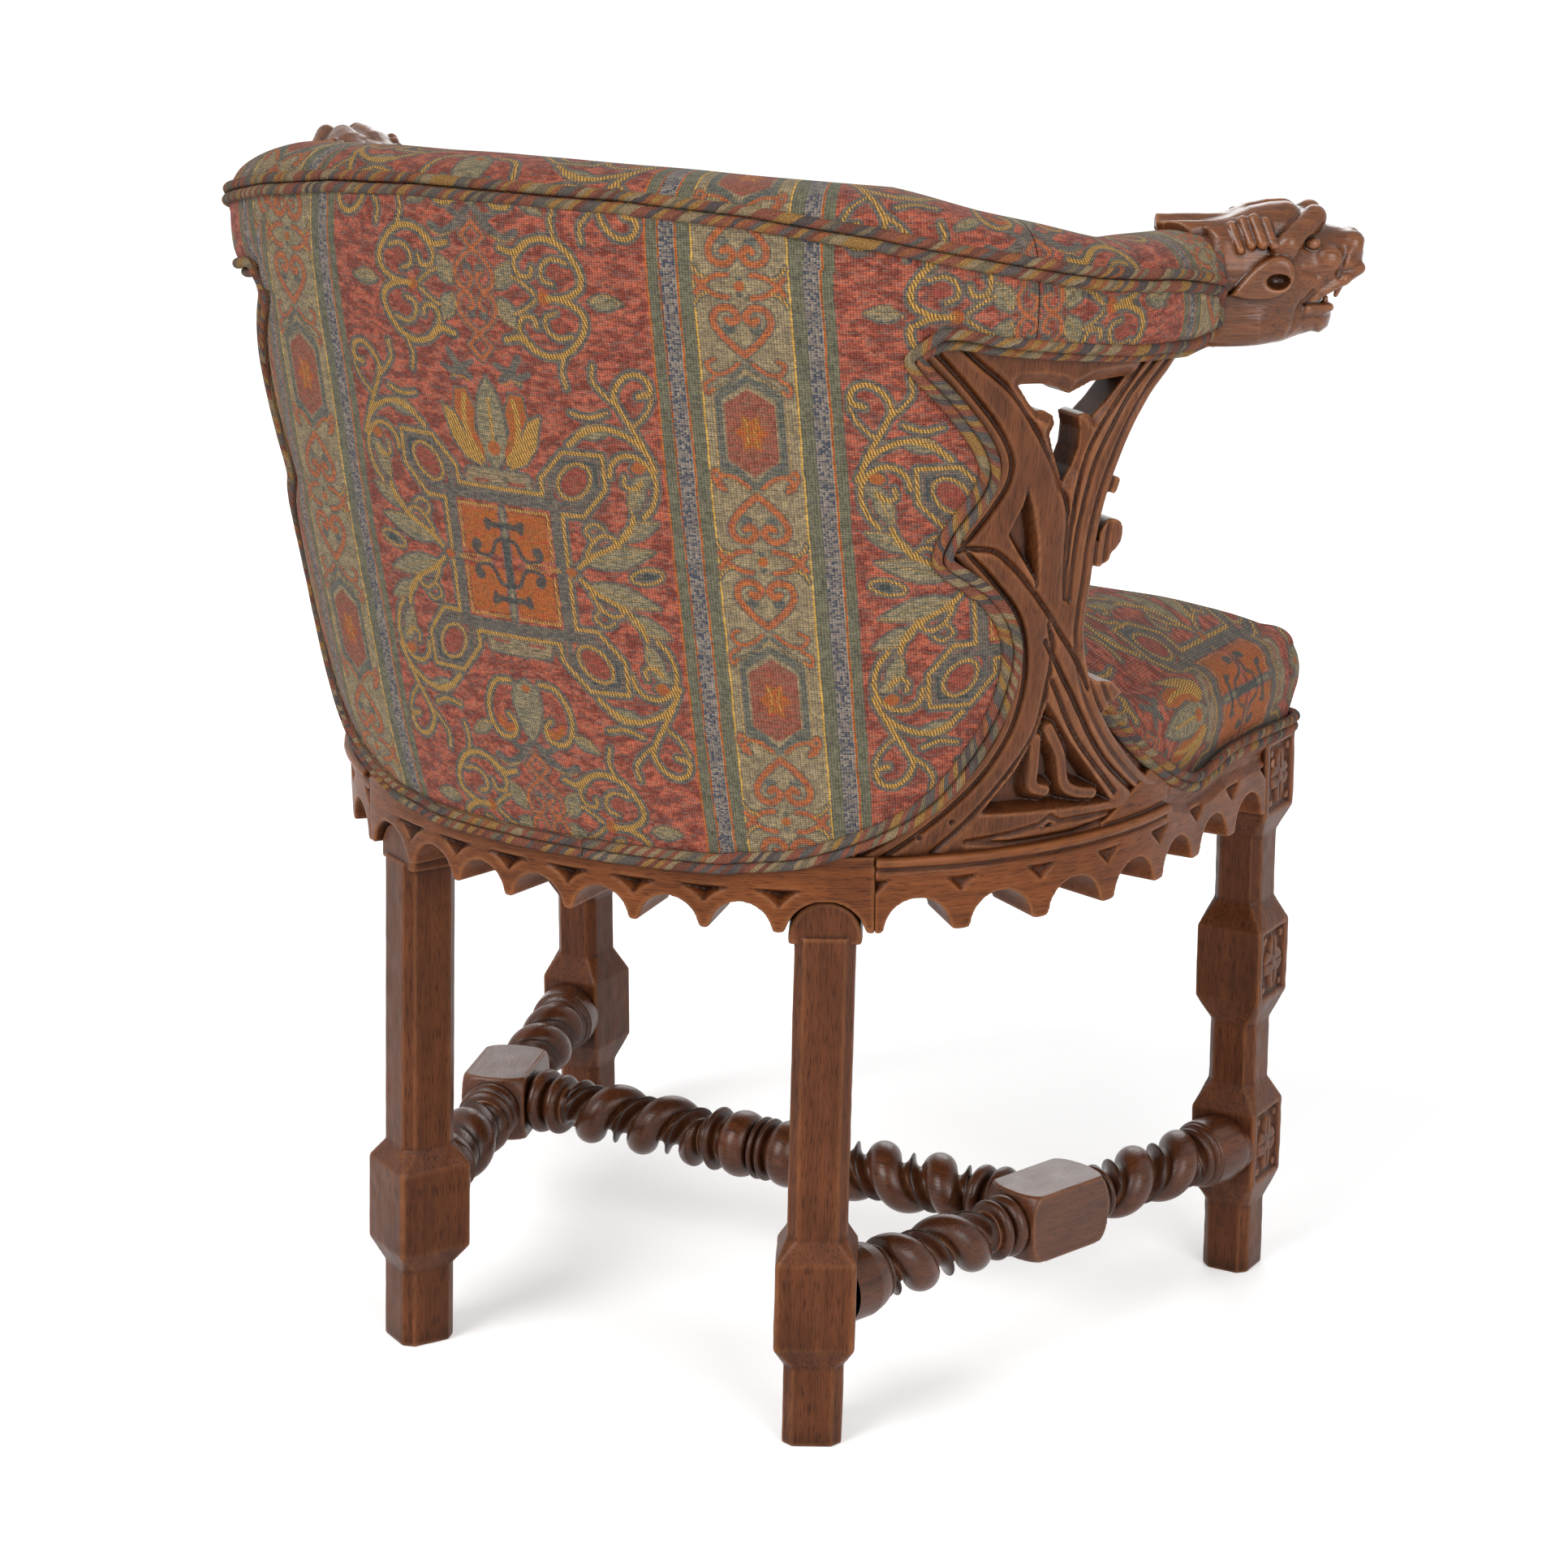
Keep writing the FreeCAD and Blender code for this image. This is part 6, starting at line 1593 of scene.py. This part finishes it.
# Carved lines of the side panel, in its plane
BEAD_LINE = [
    (-118, 752), (-103, 737), (-81, 712), (-64, 691), (-54, 673), (-54, 659), (-61, 645), (-71, 630),
    (-78, 619),
]
LOW_BEAD = [
    (-78, 617), (-72, 608), (-54, 588), (-35, 563), (-27, 529), (-31, 495), (-43, 470), (-60, 449),
    (-88, 423), (-112, 405),
]
GROOVES = [
    ([(-90, 750), (-77, 737), (-53, 716), (-34, 691), (-17, 664), (-5, 640), (-2, 625), (-1, 604), (2, 576)],
     4.0, 1.9),
    ([(52, 731), (39, 717), (23, 698), (10, 679), (4, 660), (1, 639), (1, 604), (3, 578)], 3.6, 1.7),
    ([(72, 737), (59, 725), (38, 707), (23, 684), (14, 666), (9, 645), (6, 625), (5, 603), (5, 574)],
     3.0, 1.6),
    ([(-73, 616), (-54, 613), (-40, 602), (-27, 588), (-13, 571), (2, 551), (16, 533), (30, 510)], 3.4, 1.8),
    ([(-8, 560), (-3, 540), (-4, 517), (-9, 486), (-23, 462), (-47, 432), (-71, 408)], 3.4, 1.8),
    ([(-9, 548), (13, 513), (47, 462), (85, 427), (112, 410)], 4.0, 1.9),
    ([(-1, 520), (25, 476), (66, 430)], 3.2, 1.7),
]
OPENING = [
    (-48, 720), (-31, 719), (-20, 716), (-14, 712.5), (-11, 711), (-7, 712.5), (5, 717), (23, 717), (34, 717),
    (20, 703), (9, 694), (4, 697), (-2, 696), (1, 687), (1, 675), (-3, 663), (-9, 653), (-17, 672),
    (-22, 686), (-19, 692), (-21, 698), (-28, 702), (-33, 702), (-38, 706),
]
BLIND = [
    (-36, 655), (-38, 642), (-46, 623), (-39, 612), (-24, 591), (-19, 577), (-20, 590), (-25, 621),
    (-30, 640),
]
SPANDREL = [(-3, 508), (-9, 484), (-22, 460), (-44, 432), (10, 428), (66, 423), (22, 474)]
FINGERS = [
    [(-7, 480), (-6, 460), (-5, 447), (5, 442)],
    [(2, 486), (14, 466), (20, 445), (31, 437), (46, 433)],
]
FOOT_LENS = [
    (-50, 414), (-20, 416), (2, 419), (10, 424), (18, 419), (44, 418), (80, 415), (30, 409.5), (-20, 410),
]
FOOT_CUT = [(2, 416), (10, 420), (18, 416)]
BRACKET = [(24, 522), (36, 514), (50, 511), (60, 502), (52, 496), (46, 490), (36, 500)]
CROCKETS = [(32, 647, 5.0), (34, 613, 10.0), (27, 602, 8.0)]
PEGS = [(-61, 429), (-81, 420)]


def tracery_panels():
    outline = np.vstack([REAR_EDGE, [(-116, 756), (106, 756)], FRONT_EDGE, [(126, 404), (-124, 404)]])

    def solid(u, z, depth):
        flat_u, flat_z = np.broadcast_arrays(u[:, :, 0] + 0 * z[:, :, 0], z[:, :, 0] + 0 * u[:, :, 0])
        shape = to_shape(flat_u, flat_z, outline)
        front_gap = to_line(flat_u, flat_z, FRONT_EDGE)
        for at_u, at_z, radius in CROCKETS:
            shape = smooth_min(shape, np.hypot(flat_u - at_u, (flat_z - at_z) * 0.9) - radius, 2.0)
        shape = smooth_min(shape, to_shape(flat_u, flat_z, BRACKET), 2.5)
        hole = to_shape(flat_u, flat_z, OPENING)
        shape = np.maximum(shape, -hole)
        height = -np.clip(3.0 - front_gap, 0, 3) ** 2 * 0.35
        height = np.minimum(height, -2.4 * np.exp(-((front_gap - 8.0) / 1.6) ** 2))
        # Bead along the back's edge between two grooves
        for points in (BEAD_LINE, LOW_BEAD):
            gap = to_line(flat_u, flat_z, curve(points, 8))
            height = np.minimum(height, -3.6 * np.exp(-((gap - 4.6) / 1.6) ** 2))
        for points, deep, half in GROOVES:
            gap = to_line(flat_u, flat_z, curve(points, 8))
            height = np.minimum(height, -deep * np.exp(-(gap / half) ** 2) - 0.9 * np.exp(-(gap / 6.0) ** 2))
        for ring, deep, steep in ((BLIND, 10.0, 2.2), (SPANDREL, 12.0, 1.8)):
            gap = to_shape(flat_u, flat_z, ring)
            height = np.minimum(height, -np.clip(-gap * steep, 0, deep))
        for points in FINGERS:
            gap = to_line(flat_u, flat_z, curve(points, 8))
            height = np.maximum(height, -2.0 - np.clip(gap - 3.0, 0, 20) * 1.8)
        lens_gap = to_shape(flat_u, flat_z, FOOT_LENS)
        line = -np.clip(2.6 - np.abs(lens_gap) * 0.9, 0, 2.6)
        height = np.minimum(height, np.where(lens_gap > -6, line, height))
        height = np.where(lens_gap < -1.5, np.maximum(height, -1.0), height)
        height = np.minimum(height, -np.clip(-to_shape(flat_u, flat_z, FOOT_CUT) * 2.2, 0, 4.0))
        for at_u, at_z in PEGS:
            height = np.minimum(height, -np.clip(2.6 - np.hypot(flat_u - at_u, flat_z - at_z), 0, 2.4) * 1.4)
        rim = np.clip(5.0 - (hole - 1.0) * 0.7, 0, 5.0)
        height = np.where(hole < 8, np.minimum(height, -rim), height)
        field = np.maximum(shape[:, :, None], -height[:, :, None] - depth)
        return np.maximum(field, depth - 30.0)

    verts, quads = nets_piece((-126, 404, -1), (128, 756, 30), 1.25, solid)
    verts[:, 2] += noise(verts, 14, 61) * 0.3
    world = panel_point(verts[:, 0], verts[:, 1], 2.0 + verts[:, 2])
    grain = verts[:, [1, 0, 2]]
    both_sides("tracery", world, quads[:, ::-1], grain, OAK_PANEL, "tracery_panel")


def ball(p, centre, radii):
    q = [(p[n] - centre[n]) / radii[n] for n in range(3)]
    return (np.sqrt(q[0] ** 2 + q[1] ** 2 + q[2] ** 2) - 1) * min(radii)


def bar(p, a, b, ra, rb):
    d = [b[n] - a[n] for n in range(3)]
    size = sum(c * c for c in d)
    t = np.clip(sum((p[n] - a[n]) * d[n] for n in range(3)) / size, 0, 1)
    gap = np.sqrt(sum((p[n] - a[n] - t * d[n]) ** 2 for n in range(3)))
    return gap - (ra + (rb - ra) * t)


HEAD_PROFILE = [
    (-5, -36), (10, -36.5), (25, -36), (45, -34), (60, -31), (68, -29.5), (73, -31), (79, -27), (81, -20),
    (80, -11.5), (69, -9), (61, -10), (68, -6), (79, -2), (88.8, 5.5), (97.6, 9), (100, 19), (98.5, 27),
    (92.7, 34.5), (86.8, 36.5), (75, 39), (73, 43), (67, 48.5), (56.6, 49.5), (48.8, 54.5), (38, 54),
    (25, 51.5), (15.6, 46.5), (5, 44), (-5, 42),
]
EAR_OUTLINE = [
    (10, -1), (20, 11), (30, 20), (40, 24), (48, 21.5), (51.5, 13), (48, 3), (38, -2.5), (24, -3.5),
]
# Steps of the carving: how softly a form joins, then a ball (middle, radii) or a bar (ends and end radii)
LIPS_AND_FANGS = [
    (3, (66, 19, -5), (86, 16, 6), 3.4, 3.4),
    (3, (86, 16, 6), (96, 10, 12), 3.4, 4.5),
    (3, (63, 17, -13), (78, 11, -13), 3.0, 3.0),
    (3, (75, 18, 19), (10, 7, 9)),
    (5, (92, 8, 27), (8, 8, 9)),
    (1.5, (85, 12, 6), (81.5, 12.5, -5), 3.8, 1.6),
    (1.5, (73, 11, -15), (75.5, 11, -6.5), 3.0, 1.6),
]
BROW_AND_CREST = [
    (2.0, (66, 12, 45), (48, 28, 31), 8.0, 8.0),
    (2, (45, 30, 27), (9, 6, 8)),
    (3, (18, 9, 42), (50, 8, 47), 5.0, 6.5),
]
PARTING = [(2.5, (10, 0, 53), (62, 0, 55), 4.0, 3.0)]
TUFTS = [(22, 27, 36, 4.4), (29, 28.5, 37, 5.0), (36, 29.5, 36, 4.2), (15, 28, 33, 4.0)]
EAR_BOWL = [(1.5, (41, 41.5, 8.0), (8.0, 10.5, 5.2))]
EYE_SOCKET = [(2, (64, 25, 30), (7.0, 7.5, 5.0))]
EYE = [(0.8, (64.5, 20, 29.5), (5.4, 5.0, 4.0))]
NOSTRIL_AND_FOLDS = [
    (1.2, (99, 8, 26), (4.2, 3.8, 3.2)),
    (1.5, (52, 27, -30), (58, 22.5, -10), 2.8, 2.8),
    (1.5, (58, 23.5, -10), (66, 23, -1), 2.0, 2.0),
    (1.5, (84, 17, 36), (76, 21, 31), 2.2, 2.2),
    (1.5, (87, 18, 26), (82, 20, 9), 2.2, 2.2),
    (1.8, (68, 25, 10), (57, 30, 14), 2.4, 2.4),
    (1.8, (57, 30, 14), (55, 30, 26), 2.0, 2.0),
]


def form_gap(p, form):
    return ball(p, *form) if len(form) == 2 else bar(p, *form)


def build_up(body, p, steps):
    for soft, *form in steps:
        body = smooth_min(body, form_gap(p, form), soft)
    return body


def cut_away(body, p, steps):
    for soft, *form in steps:
        body = smooth_max(body, -form_gap(p, form), soft)
    return body


def rounded(p, q, radius):
    """Common part of two solids with a round edge."""
    outer = np.sqrt(np.maximum(p + radius, 0) ** 2 + np.maximum(q + radius, 0) ** 2)
    return np.minimum(np.maximum(p, q) + radius, 0) + outer - radius


def beast_heads():
    def solid(a, b, h):
        b = np.abs(b)
        p = (a, b, h)
        flat_a, flat_h = np.broadcast_arrays(a[:, :, 0] + 0 * h[0], h[0] + 0 * a[:, :, 0])
        profile = to_shape(flat_a, flat_h, HEAD_PROFILE)[:, None, :]
        wide = np.interp(flat_a, [-5, 20, 38, 52, 64, 76, 90, 100], [34, 34, 32, 29, 25, 21, 18, 14])
        jaw = np.interp(flat_a, [30, 48, 60, 72, 82], [34, 28, 19, 15, 12])
        low = np.clip((-8 - flat_h) / 10, 0, 1)
        wide = wide * (1 - low) + jaw * low - np.interp(flat_h, [16, 57], [0, 13])
        body = rounded(profile, b - wide[:, None, :], 13.0)
        body = build_up(body, p, LIPS_AND_FANGS)
        body = build_up(body, p, BROW_AND_CREST)
        body = cut_away(body, p, PARTING)
        for x, y, z, r in TUFTS:
            tuft = bar(p, (x - 3, y - 6, z + 8), (x + 2, y + 3, z - 6), r - 0.8, r - 1.2)
            body = smooth_min(body, tuft, 1.0)
        # Leaf that lies back over the arm
        leaf_half = np.interp(a, [-34, -30, -14, 4, 20], [6, 11, 20, 18, 14])
        leaf_top = 44.5 - 0.012 * b ** 2 + 1.6 * np.cos(b * 0.42)
        leaf_body = np.maximum(b - leaf_half, np.abs(h - leaf_top + 4.2) - 4.2)
        leaf_body = np.maximum(leaf_body, np.maximum(-34 - a, a - 24))
        body = smooth_min(body, leaf_body, 2.0)
        # Ears with an open bowl
        ear = to_shape(flat_a, flat_h, curve(EAR_OUTLINE + EAR_OUTLINE[:1], 5)[:-1])[:, None, :]
        body = smooth_min(body, rounded(ear, np.abs(b - 33.5) - 6.5, 4.0), 1.5)
        body = cut_away(body, p, EAR_BOWL)
        body = cut_away(body, p, EYE_SOCKET)
        body = build_up(body, p, EYE)
        body = cut_away(body, p, NOSTRIL_AND_FOLDS)
        return np.maximum(body, -34.5 - a)

    verts, quads = nets_piece((-34, -42, -40), (102, 42, 60), 1.0, solid)
    verts = relax(verts, quads, 1, 0.3)
    verts = verts + noise(verts * [0.3, 1, 1], 2.6, 71)[:, None] * np.array([0.0, 0.12, 0.16])
    side = np.array([-HEAD_DIR[1], HEAD_DIR[0]])
    world = np.stack([
        RING[0] + HEAD_DIR[0] * verts[:, 0] + side[0] * verts[:, 1],
        RING[1] + HEAD_DIR[1] * verts[:, 0] + side[1] * verts[:, 1],
        RING_Z + verts[:, 2],
    ], -1)
    both_sides("head", world, quads, verts, OAK_HEAD, "beast_head")


outer_back()
roll_parts = [
    ("cap_roll", -0.52, 0.52, 440, ["top_roll"]),
    ("right_arm_roll", 0.52, 1.0, 190, ["right_arm_pad"]),
    ("left_arm_roll", -1.0, -0.52, 190, ["left_arm_pad"]),
]
for roll_name, roll_first, roll_last, roll_count, roll_nodes in roll_parts:
    roll_piece(roll_name, roll_first, roll_last, roll_count, roll_nodes)
welts()
seat()
inner_back()
front_legs()
rear_legs()
rear_rail()
side_rails()
front_rail()
stretchers()
tracery_panels()
beast_heads()

# CAD pieces that stay
for node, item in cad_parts.items():
    fill = CANVAS if node in ("back_webbing", "seat_webbing", "seat_hessian") else FRAME_WOOD
    if node in ("tenon_pegs", "rail_dowels"):
        fill = OAK_RAIL
    for slot in item.material_slots:
        slot.material = fill

# Stage

def seen_directly(shader):
    """One for rays from the camera and for those that are mirrored or pass through."""
    path = shader.node("ShaderNodeLightPath")
    seen = shader.math("MAXIMUM", path.outputs["Is Camera Ray"], path.outputs["Is Glossy Ray"])
    return shader.math("MAXIMUM", seen, path.outputs["Is Transmission Ray"])


class WorldShader(Shader):
    def __init__(self, world):
        world.use_nodes = True
        self.tree = world.node_tree
        self.surface = self.tree.nodes["Background"]


def stage():
    floor = Shader("floor")
    floor.settings({"Base Color": (0.9, 0.9, 0.9, 1), "Roughness": 0.95, "Specular IOR Level": 0.0})
    floor.settings({"Emission Color": (1, 1, 1, 1)})
    floor.feed(floor.surface.inputs["Emission Strength"], floor.math("MULTIPLY", seen_directly(floor), 0.34))
    mesh = bpy.data.meshes.new("floor")
    size = 14.0
    corners = [(-size, -size, 0), (size, -size, 0), (size, size, 0), (-size, size, 0)]
    mesh.from_pydata(corners, [], [(0, 1, 2, 3)])
    mesh.materials.append(floor.material)
    item = bpy.data.objects.new("floor", mesh)
    bpy.context.collection.objects.link(item)
    world = bpy.data.worlds.new("studio")
    bpy.context.scene.world = world
    sky = WorldShader(world)
    sky.settings({"Color": (1, 1, 1, 1)})
    sky.feed(sky.surface.inputs["Strength"], sky.math("MULTIPLY_ADD", seen_directly(sky), 0.55, 0.45))

    def lamp(name, light, position, target):
        item = bpy.data.objects.new(name, light)
        item.location = position
        item.rotation_euler = (Vector(target) - Vector(position)).to_track_quat("-Z", "Y").to_euler()
        bpy.context.collection.objects.link(item)

    key = bpy.data.lights.new("key", "SUN")
    key.energy = 1.9
    key.angle = math.radians(32)
    lamp("key", key, (0.9, 2.9, 2.7), (0, 0, 0.4))
    fills = (("fill", 1.6, 38, (-2.4, 1.4, 1.5)), ("front_fill", 1.8, 26, (1.0, -2.6, 1.9)))
    for name, size, energy, position in fills:
        fill = bpy.data.lights.new(name, "AREA")
        fill.size = size
        fill.energy = energy
        lamp(name, fill, position, (0, 0, 0.45))


def camera():
    lens_data = bpy.data.cameras.new("camera")
    lens_data.lens = 93.17
    lens_data.sensor_width = 36
    lens_data.sensor_height = 36
    turn, tilt = math.radians(30.40), math.radians(16.57)
    look = Vector((math.sin(turn) * math.cos(tilt), -math.cos(turn) * math.cos(tilt), -math.sin(tilt)))
    item = bpy.data.objects.new("camera", lens_data)
    item.location = (-1.4005, 2.3232, 1.1931)
    item.rotation_euler = look.to_track_quat("-Z", "Y").to_euler()
    bpy.context.collection.objects.link(item)
    bpy.context.scene.camera = item


stage()
camera()
bpy.context.scene.view_settings.view_transform = "Standard"
